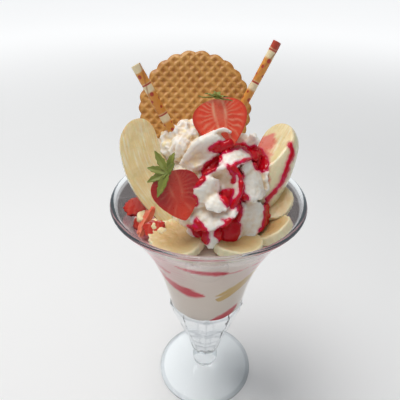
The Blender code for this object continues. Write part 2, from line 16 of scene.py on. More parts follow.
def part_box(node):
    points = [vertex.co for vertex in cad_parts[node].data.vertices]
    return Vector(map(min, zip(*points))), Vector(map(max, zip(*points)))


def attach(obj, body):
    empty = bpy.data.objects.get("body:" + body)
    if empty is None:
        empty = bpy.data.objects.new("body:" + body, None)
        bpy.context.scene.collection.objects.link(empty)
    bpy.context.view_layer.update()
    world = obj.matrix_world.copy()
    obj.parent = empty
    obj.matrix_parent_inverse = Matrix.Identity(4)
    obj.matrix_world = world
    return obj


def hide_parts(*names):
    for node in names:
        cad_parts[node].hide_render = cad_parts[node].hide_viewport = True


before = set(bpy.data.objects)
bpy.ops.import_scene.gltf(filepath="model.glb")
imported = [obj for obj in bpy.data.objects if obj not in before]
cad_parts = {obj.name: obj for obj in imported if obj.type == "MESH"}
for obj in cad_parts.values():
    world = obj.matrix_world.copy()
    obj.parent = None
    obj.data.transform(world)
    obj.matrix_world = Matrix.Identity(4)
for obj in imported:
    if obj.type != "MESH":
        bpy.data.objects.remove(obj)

MM = 0.001
GAP = 0.3 * MM
SAME_PLACE = 0.01 * MM  # vertices nearer than this are one
FRONT = Vector((0.0, -1.0, 0.0))
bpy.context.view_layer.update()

# Glass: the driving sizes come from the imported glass, the rest repeat its profile.
GLASS_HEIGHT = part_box("glass")[1].z
RIM_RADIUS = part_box("glass")[1].x
WALL = 3.4 * MM
LIP_HEIGHT = GLASS_HEIGHT - WALL / 2
NECK_HEIGHT = 90.0 * MM
NECK_RADIUS = 27.5 * MM
STRAIGHT_FLARE = 15.0 * MM
CURVED_FLARE = RIM_RADIUS - NECK_RADIUS - STRAIGHT_FLARE
FLARE_POWER = 2.6
CAVITY_BOTTOM = 81.5 * MM
CAVITY_FALL_POWER = 2.6
CAVITY_ROUND_POWER = 2.0
PANELS = 10
Tier = namedtuple("Tier", "top top_radius bottom bottom_radius")
TIERS = (
    Tier(86.5, 28.4, 66.5, 22.6),
    Tier(65.5, 21.7, 50.0, 17.4),
    Tier(49.0, 16.5, 42.5, 14.8),
    Tier(41.5, 13.9, 28.0, 10.9),
)
KNOB_CENTRE = 15.0 * MM
KNOB_RADIUS = 10.3 * MM
FOOT_RADIUS = 38.8 * MM
FOOT_EDGE = 1.6 * MM
FOOT_MIDDLE = 6.4 * MM
RIM_EDGE = 173.8  # height at which the thick rim starts, in mm
INTO_WALL = 0.15 * MM  # how far the contents reach into the glass
FILL_LEVEL = 158.7 * MM
FRONT_LIFT = 10.0 * MM
FILL_RISE = 6.0 * MM

LOOKOUT = Vector((-5.3, -215.1, 314.9)) * MM
CAMERA_DOWN = 33.42
CAMERA_ROLL = 0.46


# ---------- making and finishing ----------


def link(name, data):
    """A new object in the scene for a mesh, light or camera."""
    obj = bpy.data.objects.new(name, data)
    bpy.context.scene.collection.objects.link(obj)
    return obj


def from_bmesh(name, bm):
    """A new object holding the bmesh, which is freed."""
    mesh = bpy.data.meshes.new(name)
    bm.to_mesh(mesh)
    bm.free()
    return link(name, mesh)


def skinned(name, bm):
    """A new object holding the bmesh, with its faces pointing out and shaded smooth."""
    bmesh.ops.recalc_face_normals(bm, faces=bm.faces)
    obj = from_bmesh(name, bm)
    obj.data.shade_smooth()
    return obj


def finish_piece(obj, finish, slot, *stands_for):
    """Gives a piece its material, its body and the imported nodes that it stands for."""
    obj.data.materials.clear()
    obj.data.materials.append(finish)
    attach(obj, "root")
    if stands_for:
        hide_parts(*stands_for)
    return obj


def applied(obj):
    """The object with its modifiers made part of its mesh."""
    bpy.context.view_layer.update()
    graph = bpy.context.evaluated_depsgraph_get()
    mesh = bpy.data.meshes.new_from_object(obj.evaluated_get(graph))
    obj.modifiers.clear()
    obj.data = mesh
    return obj


def thickened(obj, thickness, offset=0.0, group=""):
    """The object's sheet made a solid, with the thickness scaled by a vertex group if named."""
    solid = obj.modifiers.new("thickness", "SOLIDIFY")
    solid.thickness = thickness
    solid.offset = offset
    solid.vertex_group = group
    return applied(obj)


def store(obj, name, values):
    """Writes a value for each point of an object's mesh to a named attribute."""
    obj.data.attributes.new(name, "FLOAT", "POINT").data.foreach_set("value", list(values))


def value_layers(bm, *names):
    """New layers for a value at each vertex; they have to come before any vertex is kept."""
    return [bm.verts.layers.float.new(name) for name in names]


def write(vertex, layers, *values):
    """Sets a vertex's value in each of the layers."""
    for layer, value in zip(layers, values):
        vertex[layer] = value


def frame_of(along, facing):
    """A rotation whose +Z is `along` and whose -Y is as near to `facing` as can be."""
    z = Vector(along).normalized()
    y = -(Vector(facing) - z * Vector(facing).dot(z)).normalized()
    x = y.cross(z)
    return Matrix((x, y, z)).transposed().to_4x4()


def lay(bm, place, along, facing=FRONT):
    """Moves a shape's origin to a place and its +Z to `along`; returns the move."""
    move = Matrix.Translation(place) @ frame_of(along, facing)
    bmesh.ops.transform(bm, verts=bm.verts, matrix=move)
    return move


def lumps(place, *sizes):
    """A sum of noises at a place in metres, each given by its height and its grain in mm."""
    return sum(height * noise.noise(place / (grain * MM)) for height, grain in sizes)


def radius_of(place):
    """How far a place is from the glass's axis."""
    return math.hypot(place.x, place.y)


def bearing_of(place):
    """The direction of a place from the axis, in degrees: 0 at the front and 90 at the right."""
    return math.degrees(math.atan2(place.x, -place.y))


def smoothstep(low, high, value):
    share = min(max((value - low) / (high - low), 0.0), 1.0)
    return share * share * (3 - 2 * share)


def mix(a, b, share):
    return a + (b - a) * share


def spun(profile, steps):
    """A profile of (radius, height) points, with its ends on the axis, spun about Z."""
    bm = bmesh.new()
    points = [bm.verts.new((radius, 0.0, height)) for radius, height in profile]
    edges = [bm.edges.new(pair) for pair in zip(points, points[1:])]
    bmesh.ops.spin(
        bm, geom=points + edges, cent=(0, 0, 0), axis=(0, 0, 1), angle=2 * math.pi, steps=steps,
        use_merge=True, use_duplicate=False
    )
    bmesh.ops.remove_doubles(bm, verts=bm.verts, dist=SAME_PLACE)
    return bm


# ---------- laying out from the front ----------

# The toppings are laid out on a board that leans back, as seen from a lookout in front.
# A place on the board is so many mm to the right and up of the board's middle.
BOARD_AWAY = 250.0 * MM
BOARD_TURN = Matrix.Rotation(math.radians(90.0 - CAMERA_DOWN), 3, "X") @ Matrix.Rotation(
    math.radians(CAMERA_ROLL), 3, "Z"
)


def on_board(point):
    """Where a point is seen on the board."""
    seen = BOARD_TURN.transposed() @ (point - LOOKOUT)
    share = -BOARD_AWAY / seen.z / MM
    return Vector((seen.x * share, seen.y * share))


def towards_lookout(vertex):
    """How squarely a surface faces the lookout, from 1 to -1."""
    return (LOOKOUT - vertex.co).normalized().dot(vertex.normal)


def line_place(stations, share):
    """A smooth line through the stations, at a share of its way."""
    whole = min(max(share, 0.0), 0.9999) * (len(stations) - 1)
    number = int(whole)
    part = whole - number
    near = [Vector(stations[min(max(number + i, 0), len(stations) - 1)]) for i in (-1, 0, 1, 2)]
    a, b, c, d = near
    return 0.5 * (
        2 * b + (c - a) * part + (2 * a - 5 * b + 4 * c - d) * part**2 + (3 * b - a - 3 * c + d) * part**3
    )


def inside_by(x, y, outline):
    """How far a place on the board is inside a closed outline, in mm; outside it's negative."""
    inside = False
    nearest = 1e9
    for (ax, ay), (bx, by) in zip(outline, outline[1:] + outline[:1]):
        run_x, run_y = bx - ax, by - ay
        to_x, to_y = x - ax, y - ay
        share = min(max((to_x * run_x + to_y * run_y) / (run_x**2 + run_y**2), 0.0), 1.0)
        nearest = min(nearest, math.hypot(to_x - share * run_x, to_y - share * run_y))
        if (ay > y) != (by > y) and x < run_x * (y - ay) / (by - ay) + ax:
            inside = not inside
    return nearest if inside else -nearest


# ---------- materials ----------


class Nodes:
    """A node tree and short ways to add nodes to it."""

    def __init__(self, tree):
        self.tree = tree

    def node(self, kind, **settings):
        made = self.tree.nodes.new(f"ShaderNode{kind}")
        for name, value in settings.items():
            setattr(made, name, value)
        return made

    def put(self, value, socket):
        """Links an output to a socket, or sets the socket to a plain value."""
        if isinstance(value, bpy.types.NodeSocket):
            self.tree.links.new(value, socket)
        elif isinstance(value, tuple) and len(value) == 3 and socket.type == "RGBA":
            socket.default_value = (*value, 1.0)
        else:
            socket.default_value = value

    def fill(self, node, *values, **named):
        """Puts values in a node's first sockets, and others in its sockets of those names."""
        for value, socket in zip(values, node.inputs):
            self.put(value, socket)
        for name, value in named.items():
            self.put(value, node.inputs[name])
        return node

    def axes(self, place):
        """The X, Y and Z of a place."""
        return self.fill(self.node("SeparateXYZ"), place).outputs

    def maths(self, operation, *values):
        return self.fill(self.node("Math", operation=operation), *values).outputs[0]

    def times(self, first, second):
        return self.maths("MULTIPLY", first, second)

    def noise(self, place, **settings):
        return self.fill(self.node("TexNoise"), Vector=place, **settings).outputs["Fac"]

    def ramp(self, value, low, high, to_low=0.0, to_high=1.0):
        spread = self.node("MapRange", interpolation_type="SMOOTHSTEP")
        return self.fill(spread, value, low, high, to_low, to_high).outputs["Result"]

    def blend(self, share, first, second):
        mixed = self.node("Mix", data_type="RGBA", clamp_factor=True)
        self.put(share, mixed.inputs["Factor"])
        for colour, socket in zip((first, second), (s for s in mixed.inputs if s.type == "RGBA")):
            self.put(colour, socket)
        return next(socket for socket in mixed.outputs if socket.type == "RGBA")


def shared_effect(name, output, build, **inputs):
    """A shader node group whose one output `build` makes from the inputs that it is given."""
    group = bpy.data.node_groups.new(name, "ShaderNodeTree")
    for socket, kind in {"Place": "Vector", "Scale": "Float", **inputs}.items():
        group.interface.new_socket(socket, in_out="INPUT", socket_type=f"NodeSocket{kind}")
    made = Nodes(group)
    given = group.nodes.new("NodeGroupInput").outputs
    value = build(made, given)
    kind = "Color" if value.type == "RGBA" else "Float"
    group.interface.new_socket(output, in_out="OUTPUT", socket_type=f"NodeSocket{kind}")
    made.put(value, group.nodes.new("NodeGroupOutput").inputs[output])
    return group


def mottling(made, given):
    """Patches that run between two colours."""
    patches = made.noise(given["Place"], Scale=given["Scale"], Detail=given["Detail"])
    return made.blend(patches, given["First"], given["Second"])


def uneven_gloss(made, given):
    """Wetter and drier patches: a roughness between a low and a high one."""
    patches = made.noise(given["Place"], Scale=given["Scale"], Detail=3.0)
    return made.ramp(patches, 0.35, 0.65, given["Low"], given["High"])


def grain(made, given):
    """Fine noise for the height of a bump."""
    return made.noise(given["Place"], **{name: given[name] for name in ("Scale", "Detail", "Roughness")})


MOTTLING = shared_effect("mottling", "Colour", mottling, Detail="Float", First="Color", Second="Color")
UNEVEN_GLOSS = shared_effect("uneven gloss", "Roughness", uneven_gloss, Low="Float", High="Float")
GRAIN = shared_effect("grain", "Height", grain, Detail="Float", Roughness="Float")


class Finish(Nodes):
    """A Principled material, with the sundae's shared effects at hand."""

    def __init__(self, name, **sockets):
        self.material = bpy.data.materials.new(name)
        self.material.use_nodes = True
        super().__init__(self.material.node_tree)
        self.shader = self.tree.nodes["Principled BSDF"]
        for socket, value in sockets.items():
            self.put(value, self.shader.inputs[socket.replace("_", " ")])

    def attribute(self, name):
        return self.node("Attribute", attribute_name=name).outputs["Fac"]

    def place(self):
        return self.node("TexCoord").outputs["Object"]

    def patches(self, scale, detail=3.0):
        return self.noise(self.place(), Scale=scale, Detail=detail)

    def effect(self, group, **values):
        """The output of a shared effect, placed in this material with its own values."""
        return self.fill(self.node("Group", node_tree=group), Place=self.place(), **values).outputs[0]

    def mottled(self, scale, detail, first, second):
        return self.effect(MOTTLING, Scale=scale, Detail=detail, First=first, Second=second)

    def uneven_gloss(self, scale, low, high):
        gloss = self.effect(UNEVEN_GLOSS, Scale=scale, Low=low, High=high)
        self.put(gloss, self.shader.inputs["Roughness"])

    def grain(self, scale, detail, distance, strength, roughness=0.5):
        height = self.effect(GRAIN, Scale=scale, Detail=detail, Roughness=roughness)
        self.bump(height, distance, strength)

    def bump(self, height, distance, strength):
        made = self.fill(self.node("Bump"), Strength=strength, Distance=distance, Height=height)
        self.put(made.outputs["Normal"], self.shader.inputs["Normal"])

    def colour(self, value):
        self.put(value, self.shader.inputs["Base Color"])


# ---------- glass ----------


def arc(centre_radius, centre_height, radius, start, end, steps):
    """Points on a round of the profile, with its angles in degrees from +X."""
    angles = [math.radians(start + (end - start) * i / steps) for i in range(steps + 1)]
    return [(centre_radius + radius * math.cos(a), centre_height + radius * math.sin(a)) for a in angles]


def bowl_radius(height):
    """The outside of the flared bowl."""
    share = (height - NECK_HEIGHT) / (LIP_HEIGHT - NECK_HEIGHT)
    return NECK_RADIUS + STRAIGHT_FLARE * share + CURVED_FLARE * share**FLARE_POWER


def wall_profile(top, outset=0.0, steps=40):
    """The inside of the bowl from its bottom's middle up to `top`, moved out by `outset`."""
    neck = NECK_RADIUS - WALL
    depth = NECK_HEIGHT - CAVITY_BOTTOM
    profile = [(0.0, CAVITY_BOTTOM - outset)]
    for i in range(1, steps):
        turn = math.radians(90.0 - 90.0 * i / steps)
        fall = depth * math.sin(turn) ** (2 / CAVITY_FALL_POWER)
        radius = neck * math.cos(turn) ** (2 / CAVITY_ROUND_POWER)
        profile.append((radius + outset, NECK_HEIGHT - fall - outset))
    for i in range(steps + 1):
        height = mix(NECK_HEIGHT, top, i / steps)
        profile.append((bowl_radius(height) - WALL + outset, height))
    return profile


def tier_profile(tier, steps=8):
    """One tier of the cone, from its top to its bottom, bulging a little, with soft corners."""
    points = []
    for i in range(steps + 1):
        share = i / steps
        radius = mix(tier.top_radius, tier.bottom_radius, share)
        bulge = 0.25 * math.sin(math.pi * share)
        points.append(((radius + bulge) * MM, mix(tier.top, tier.bottom, share) * MM))
    return points


def glass_profile():
    """The whole glass: inside, lip, outside of the bowl, cone, knob and foot."""
    lip = arc(RIM_RADIUS - WALL / 2, LIP_HEIGHT, WALL / 2, 180.0, 0.0, 12)
    outside = [(bowl_radius(z), z) for z in (mix(LIP_HEIGHT, NECK_HEIGHT, i / 40) for i in range(41))]
    cone = [point for tier in TIERS for point in tier_profile(tier)]
    knob = arc(0.0, KNOB_CENTRE, KNOB_RADIUS, 62.0, -52.0, 16)
    dish = [
        (mix(8.5 * MM, FOOT_RADIUS - FOOT_EDGE, share), mix(FOOT_MIDDLE, 2 * FOOT_EDGE, share**0.7))
        for share in (0.1, 0.3, 0.5, 0.7, 0.88)
    ]
    edge = arc(FOOT_RADIUS - FOOT_EDGE, FOOT_EDGE, FOOT_EDGE, 80.0, -90.0, 8)
    return wall_profile(LIP_HEIGHT) + lip[1:] + outside[1:] + cone + knob + dish + edge + [(0.0, 0.0)]


def inner_radius(height):
    """The cavity's radius at a height below the neck, and 0 below the cavity."""
    fall = max((NECK_HEIGHT - height) / (NECK_HEIGHT - CAVITY_BOTTOM), 0.0)
    turn = math.asin(min(fall, 1.0) ** (CAVITY_FALL_POWER / 2))
    return (NECK_RADIUS - WALL) * math.cos(turn) ** (2 / CAVITY_ROUND_POWER)


def lines_cavity(place):
    """Whether a point of the cone's glass lines the lower end of the cavity."""
    return radius_of(place) < inner_radius(place.z) + 0.5 * MM


def flatten_panels(bm):
    """Brings the cone in to the flats of its panels, with one edge at the front."""
    panel = 2 * math.pi / PANELS
    top, bottom = TIERS[0].top * MM, TIERS[-1].bottom * MM
    for vertex in bm.verts:
        on_cone = bottom - SAME_PLACE < vertex.co.z < top + SAME_PLACE
        if not on_cone or radius_of(vertex.co) < 10.0 * MM or lines_cavity(vertex.co):
            continue
        turn = (math.atan2(vertex.co.y, vertex.co.x) + math.pi / 2) % panel
        scale = math.cos(panel / 2) / math.cos(turn - panel / 2)
        vertex.co.x *= scale
        vertex.co.y *= scale


def edge_share(vertex):
    """How near a point is to an edge of the cut cone: where tiers meet, and where flats meet; it masks the
    painted dark edge lines.
    """
    height = vertex.co.z / MM
    on_cone = TIERS[-1].bottom - 1 < height < TIERS[0].top + 1.5
    if not on_cone or lines_cavity(vertex.co):
        return 0.0
    level = min(min(abs(height - tier.top), abs(height - tier.bottom)) for tier in TIERS)
    panel = 360 / PANELS
    bearing = bearing_of(vertex.co) % panel
    aside = min(bearing, panel - bearing) * math.pi / 180 * radius_of(vertex.co) / MM
    return max(0.9 * (1 - smoothstep(0.2, 1.1, level)), 0.6 * (1 - smoothstep(0.2, 0.9, aside)))


def glass_finish():
    """Clear glass: faintly grey, greyer in the stem and foot; painted dark lines at the cut edges and the
    foot's edge, painted grey shade on the bowl's wall under the rim, and a painted glow on the rim.
    """
    made = Finish(
        "clear_glass", Roughness=0.0, IOR=1.3, Metallic=0.0, Transmission_Weight=1.0, Emission_Strength=1.0
    )
    x, y, z = made.axes(made.place())

    def by_height(low, high):
        return made.ramp(z, low * MM, high * MM)

    tint_and_shade = made.blend(by_height(60, 100), (0.83, 0.86, 0.88), (0.95, 0.96, 0.965))
    across = made.maths("SQRT", made.maths("ADD", made.times(x, x), made.times(y, y)))
    foot_edge = made.ramp(across, 0.90 * FOOT_RADIUS, 0.93 * FOOT_RADIUS, 0.0, 0.35)
    # painted shade: dark lines at the cut edges of the cone and round the foot's edge, standing in for the
    # dark refractions of real glass
    painted_edge_shade = made.maths("MAXIMUM", made.attribute("edge"), made.times(foot_edge, by_height(6, 5)))
    tint_and_shade = made.blend(painted_edge_shade, tint_and_shade, (0.42, 0.46, 0.50))
    # painted shade: a dark grey band on the bowl's wall under the rim, at the sides and back
    under_rim = made.times(by_height(148, 160), by_height(175, RIM_EDGE))
    painted_wall_shade = made.times(under_rim, made.ramp(y, -42 * MM, -18 * MM))
    made.colour(made.blend(painted_wall_shade, tint_and_shade, (0.20, 0.18, 0.18)))
    # painted light: the thick rim glows faintly blue-grey
    painted_rim_glow = made.blend(by_height(RIM_EDGE, 175.2), (0.0, 0.0, 0.0), (0.065, 0.078, 0.086))
    made.put(painted_rim_glow, made.shader.inputs["Emission Color"])
    wavy = made.times(made.patches(210.0, 2.0), by_height(92, 86))
    made.bump(made.times(wavy, by_height(6, 12)), 0.8 * MM, 0.6)
    return made.material


def make_glass():
    """The glass casts no shadow, so that light reaches what is in it."""
    bm = spun(glass_profile(), 160)
    flatten_panels(bm)
    glass = skinned("footed_glass", bm)
    glass.data.set_sharp_from_angle(angle=math.radians(16.0))
    glass.visible_shadow = False
    # edge: where dark lines are painted on the glass as shade
    store(glass, "edge", map(edge_share, glass.data.vertices))
    finish_piece(glass, glass_finish(), "glass", "glass")


# ---------- ice cream in the glass ----------

# Streaks of sauce against the wall: bearing and height of both ends, half-width, strength.
Streak = namedtuple("Streak", "start end half_width strength")
STREAKS = (
    Streak((-26, 156.5), (16, 151.0), 3.4, 1.0),
    Streak((8, 151.0), (32, 151.5), 1.1, 0.7),
    Streak((-76, 130.0), (-3, 119.0), 5.4, 1.0),
    Streak((-80, 137.0), (-48, 131.0), 3.0, 0.7),
    Streak((0, 85.5), (54, 94.5), 4.8, 0.9),
    Streak((-66, 145.0), (-35, 141.0), 3.0, 0.8),
    Streak((-72, 153.5), (-42, 151.0), 2.8, 0.9),
    Streak((-62, 162.0), (-28, 163.0), 2.4, 0.8),
    Streak((34, 152.5), (68, 148.0), 3.8, 0.9),
    Streak((44, 142.0), (76, 137.0), 3.2, 0.8),
    Streak((30, 160.0), (60, 161.0), 2.0, 0.6),
    Streak((95, 118.0), (160, 134.0), 4.4, 0.9),
    Streak((165, 98.0), (218, 112.0), 4.4, 0.95),
    Streak((185, 142.0), (250, 136.0), 3.0, 0.7),
    Streak((120, 150.0), (170, 147.0), 2.4, 0.6),
)
# Banana pressed against the wall round the edge of a slice.
BANANA_STREAKS = (Streak((9, 118.0), (72, 137.0), 6.0, 1.0),)

SOAKED_BANANA = ((0.74, 0.47, 0.13), (0.88, 0.64, 0.27))


def streak_share(place, streaks):
    """How much of any of some streaks shows at a place on the wall, from 0 to 1."""
    bearing, wave = bearing_of(place), lumps(place, (2.2, 9.0), (1.5, 2.6))
    most = 0.0
    for streak in streaks:
        run = streak.end[0] - streak.start[0]
        share = (bearing - streak.start[0]) % 360.0 / run
        if not 0.0 < share < 1.0:
            continue
        middle = mix(streak.start[1], streak.end[1], share) - 0.8 * math.sin(math.pi * share)
        width = streak.half_width * math.sqrt(math.sin(math.pi * share**1.5)) + 0.05
        away = abs(place.z / MM - middle + wave * 0.6) / width
        most = max(most, streak.strength * (1 - smoothstep(0.65, 1.25, away)))
    return most


def pink_share(place):
    """The blush of thinned sauce: strongest under the rim and at the left."""
    bearing = bearing_of(place)
    upper = smoothstep(110, 162, place.z / MM)
    side = smoothstep(12, 62, abs(bearing - 8))
    bands = 0.5 + 0.5 * math.sin(place.z / MM * 1.7 + 2.5 * noise.noise(place / (20.0 * MM)))
    patch = 0.5 + 0.5 * noise.noise(place / (11.0 * MM))
    edge = 0.7 * smoothstep(-38, -75, bearing) * smoothstep(112, 135, place.z / MM)
    return min(max(upper * (0.12 + 1.15 * side) * (0.4 + 1.1 * bands * patch), edge * (0.5 + patch)), 1.0)


def ice_cream_finish():
    """Vanilla ice cream against the glass, with its blush, its streaks and pressed banana."""
    made = Finish("vanilla_ice_cream", Roughness=0.6, Specular_IOR_Level=0.2)
    pale = made.mottled(60.0, 4.0, (0.96, 0.82, 0.71), (0.99, 0.89, 0.79))
    blush = made.blend(made.attribute("pink"), pale, (0.80, 0.26, 0.29))
    fruity = made.blend(made.attribute("banana"), blush, made.mottled(90.0, 4.0, *SOAKED_BANANA))
    made.colour(made.blend(made.attribute("sauce"), fruity, (0.76, 0.008, 0.04)))
    made.grain(700.0, 3.0, 0.2 * MM, 0.4)
    return made.material


def make_ice_cream():
    """The ice cream: its top is lumpy, and its brim reaches higher at the front."""
    wall = wall_profile(FILL_LEVEL, INTO_WALL)
    brim, steps = wall[-1][0], 24
    edge = [(brim, FILL_LEVEL + i * 0.2 * MM) for i in range(1, 6)]
    top = [
        (brim * (1 - i / steps), FILL_LEVEL + FILL_RISE * math.sin(math.pi / 2 * i / steps))
        for i in range(1, steps + 1)
    ]
    bm = spun(wall + edge + top, 200)
    for vertex in bm.verts:
        if vertex.co.z < FILL_LEVEL + 0.1 * MM:
            continue
        across = radius_of(vertex.co)
        share = min(across / brim, 1.0)
        front = 0.5 - 0.5 * vertex.co.y / max(across, GAP)
        lift = FRONT_LIFT * front**3 * share**2
        if share > 0.999:
            lift *= min((vertex.co.z - FILL_LEVEL) / MM, 1.0)
        lump = lumps(vertex.co, (1.6, 16.0), (0.7, 4.0))
        spread = (bowl_radius(FILL_LEVEL + lift) - WALL + INTO_WALL) / brim
        vertex.co.x *= spread
        vertex.co.y *= spread
        vertex.co.z += lift + lump * MM * (1 - share**4)
    fill = skinned("ice_cream_fill", bm)
    places = [vertex.co for vertex in fill.data.vertices]
    store(fill, "sauce", (streak_share(place, STREAKS) for place in places))
    store(fill, "banana", (streak_share(place, BANANA_STREAKS) for place in places))
    store(fill, "pink", map(pink_share, places))
    finish_piece(fill, ice_cream_finish(), "ice_cream", "ice_cream")


# ---------- whipped cream ----------

MOUND_CENTRE = Vector((3.0, -8.0, 163.0)) * MM
MOUND_RADII = Vector((33.0, 36.0, 57.0)) * MM
MOUND_CORE = 4.0 * MM  # how far under the mound's surface its filled middle is
RIDGE_PITCH = 13.0 * MM
RIDGE_DEPTH = 5.0 * MM
CREAM_CELL = 0.65 * MM
CREAM_FLOOR = 156.0 * MM

# A petal is a thin sheet of piped cream. Its root and its lip each run through a few places
# on the board, each with how far it stands off the mound; the sheet sinks by `hollow` in
# between. `ragged` is how deep the tears in its lip are. All in mm.
Petal = namedtuple("Petal", "root lip hollow thickness ragged")
PETALS = (
    # the big upper lip
    Petal(
        ((-8, 19, -2), (-2, 19, -1), (4, 23, -1), (9, 27, 0), (13, 30, 2), (16, 33, 6), (20, 36, 12)),
        ((-13, 23, 3), (-10, 28, 7), (-5.5, 34, 13), (0.5, 39, 19), (7.5, 42.5, 22), (14.5, 44.5, 22),
         (19.5, 43, 21)),
        3.5, 3.2, 0.25
    ),
    # the flat shell below the upper strawberry half
    Petal(
        ((13, 27, 1), (18, 31, 2), (23.5, 32.5, 3), (29.5, 31, 3), (35.5, 28, 4)),
        ((12.5, 20, 5), (17.5, 21, 8), (22.5, 21.5, 9), (28, 24, 10), (35.5, 25.5, 9)),
        -0.6, 2.6, 1.5
    ),
    # the small curl right of it
    Petal(
        ((27, 17, 1), (30.5, 18, 2), (34, 20, 2)),
        ((26, 20, 4), (28, 23, 6), (31, 24, 6), (34, 22, 4)),
        -0.8, 3.0, 0.4
    ),
    # the plate at the right
    Petal(
        ((27, 0.5, 2), (25, 9, -1), (27, 18, 0)),
        ((38.5, 0.5, 12), (43, 7, 12), (41.5, 13, 11), (42, 18.5, 8)),
        -0.6, 2.8, 1.7
    ),
    # the cup in the middle
    Petal(
        ((14, -4, 0), (14.5, 2, 0), (13.5, 6, 0), (12, 9, 0), (9.5, 10.5, 0), (6, 11, 1)),
        ((20, -6, 5), (25, 2, 10), (26.5, 10.5, 11), (24.5, 17, 10), (19.5, 21.5, 9), (13, 21, 7),
         (3, 15.5, 5)),
        4.5, 3.0, 0.5
    ),
    # its left side, with a torn edge
    Petal(
        ((11, 13, 2), (11.5, 9, 1), (11, 4, 1), (8, -1, 0), (5, -4, 0)),
        ((3, 14, 6), (-1, 10, 8), (-5.5, 6, 9), (-4.5, 0, 8), (-10, -7, 6)),
        -1.0, 2.8, 1.6
    ),
    # the small lobe below it
    Petal(
        ((8, 3, 1), (10.5, 3, 3), (12.5, 2, 3), (15, 1, 2)),
        ((2, 0, 5), (4.5, -5, 8), (11, -7.5, 9), (18, -5, 7)),
        -1.2, 3.0, 0.8
    ),
    # the broad lower ribbon
    Petal(
        ((-4, -4, 0), (1, -5, 1), (6, -7, 1), (12, -8, 1), (18, -6, 1), (21, -3, 1)),
        ((-10, -8, 6), (-7, -12, 8), (-3, -17, 9), (5, -19.5, 10), (15.5, -15.5, 10), (22, -10.5, 9),
         (24.5, -4, 6)),
        -1.4, 3.2, 1.4
    ),
    # the shell at the lower right
    Petal(
        ((23, -25, -1), (24, -17, -2), (23.5, -11, -3), (24.5, -6, -3), (28, -2, -2)),
        ((29, -27, 4), (37.5, -19.5, 10), (41.5, -12, 12), (41, -6.5, 11), (38, -2, 7), (31, 0.5, 1)),
        3.4, 2.8, 2.0
    ),
    # the tongue below
    Petal(
        ((4, -18, 1), (8, -17, 2), (12, -17, 2)),
        ((2, -26, 3), (7, -29.5, 5), (12, -26, 3)),
        -1.5, 4.0, 0.5
    ),
    # the torn bit at the far right
    Petal(
        ((40, -21, -1), (43, -14, -1), (46, -10, 0)),
        ((43, -21.5, 3), (47, -17, 5), (51, -11.5, 5)),
        -0.8, 4.0, 1.2
    ),
    # behind the upper strawberry half
    Petal(
        ((27, 34, -3), (31, 38, -3), (33, 41, -3)),
        ((33, 33, 0), (36.5, 36, 1), (34, 41.5, 0)),
        -1.0, 4.0, 0.8
    ),
)
PETAL_GRID = (110, 34)
# Fluffy cream at the back left: a place on the board, how far off the mound, and radius.
FLUFF = (
    (-9, 44, -12, 5.5), (-15.5, 41, -10, 5.0), (-20.5, 38, -10, 4.6), (-25.5, 33.5, -10, 4.2),
    (-19, 32, -6, 6.0), (-12, 35, -6, 6.5), (-7, 40, -7, 5.0), (-14, 27, -4, 5.0), (-4.5, 46, -13, 3.8),
    (-22, 28.5, -7, 4.0), (44.5, -15.5, -7, 3.4), (46.5, -12.5, -8, 2.4),
)
FLUFF_DEPTH = 1.9 * MM
# Scoops of ice cream that stand out beside the strawberry pieces: centre and radius.
SCOOPS = (((-38.5, -23.5, 175.5), 3.6), ((-31.5, -29.5, 174.0), 3.4), ((-27.0, -34.0, 172.5), 3.2))

# Each fold is a ribbon with its root on the mound. It runs from a bearing and height to
# another, bows up by `bow`, is `width` deep at its middle, and turns from `lean` at its
# root by `curl` to its lip. A bearing is 0 at the front and 90 at the right.
Fold = namedtuple("Fold", "start end bow width thickness lean curl ragged")
FOLDS = (
    Fold((92, 200), (150, 208), 3.0, 11.0, 4.2, 35, 45, 0.9),
    Fold((92, 170), (168, 178), 3.0, 13.0, 4.6, 35, 45, 0.9),
    Fold((125, 188), (195, 190), 3.0, 10.0, 4.6, 35, 45, 0.9),
    Fold((190, 190), (255, 194), 3.0, 11.0, 4.6, 35, 45, 0.9),
    Fold((166, 168), (262, 172), 3.0, 12.0, 4.6, 35, 45, 0.9),
)
# Rounded heaps of cream behind and beside the mound: centre and radius.
HEAPS = (
    ((-17.0, 1.0, 209.0), 7.0),
    ((24.0, 4.0, 208.0), 5.5),
    ((-10.0, 14.0, 196.0), 11.5),
    ((14.0, 16.0, 194.0), 10.5),
)
# Heaps that fill out the front of the mound: a place on the board, how far off, and radius.
FRONT_HEAPS = ((17, -19, -7.5, 9.0), (11, -23, -7.5, 7.5), (-1, -21, -7.0, 7.0))


def over_mound(right, up, lift):
    """The mound's point seen at a place on the board, moved `lift` mm towards the lookout.

    Beside the mound it's the point where the line of sight passes nearest to it."""
    ray = (BOARD_TURN @ Vector((right * MM, up * MM, -BOARD_AWAY))).normalized()
    start = Vector([(p - c) / r for p, c, r in zip(LOOKOUT, MOUND_CENTRE, MOUND_RADII)])
    slope = Vector([d / r for d, r in zip(ray, MOUND_RADII)])
    square, half = slope.dot(slope), start.dot(slope)
    depth = math.sqrt(max(half**2 - square * (start.dot(start) - 1), 0.0))
    return LOOKOUT + ray * ((-half - depth) / square - lift * MM)


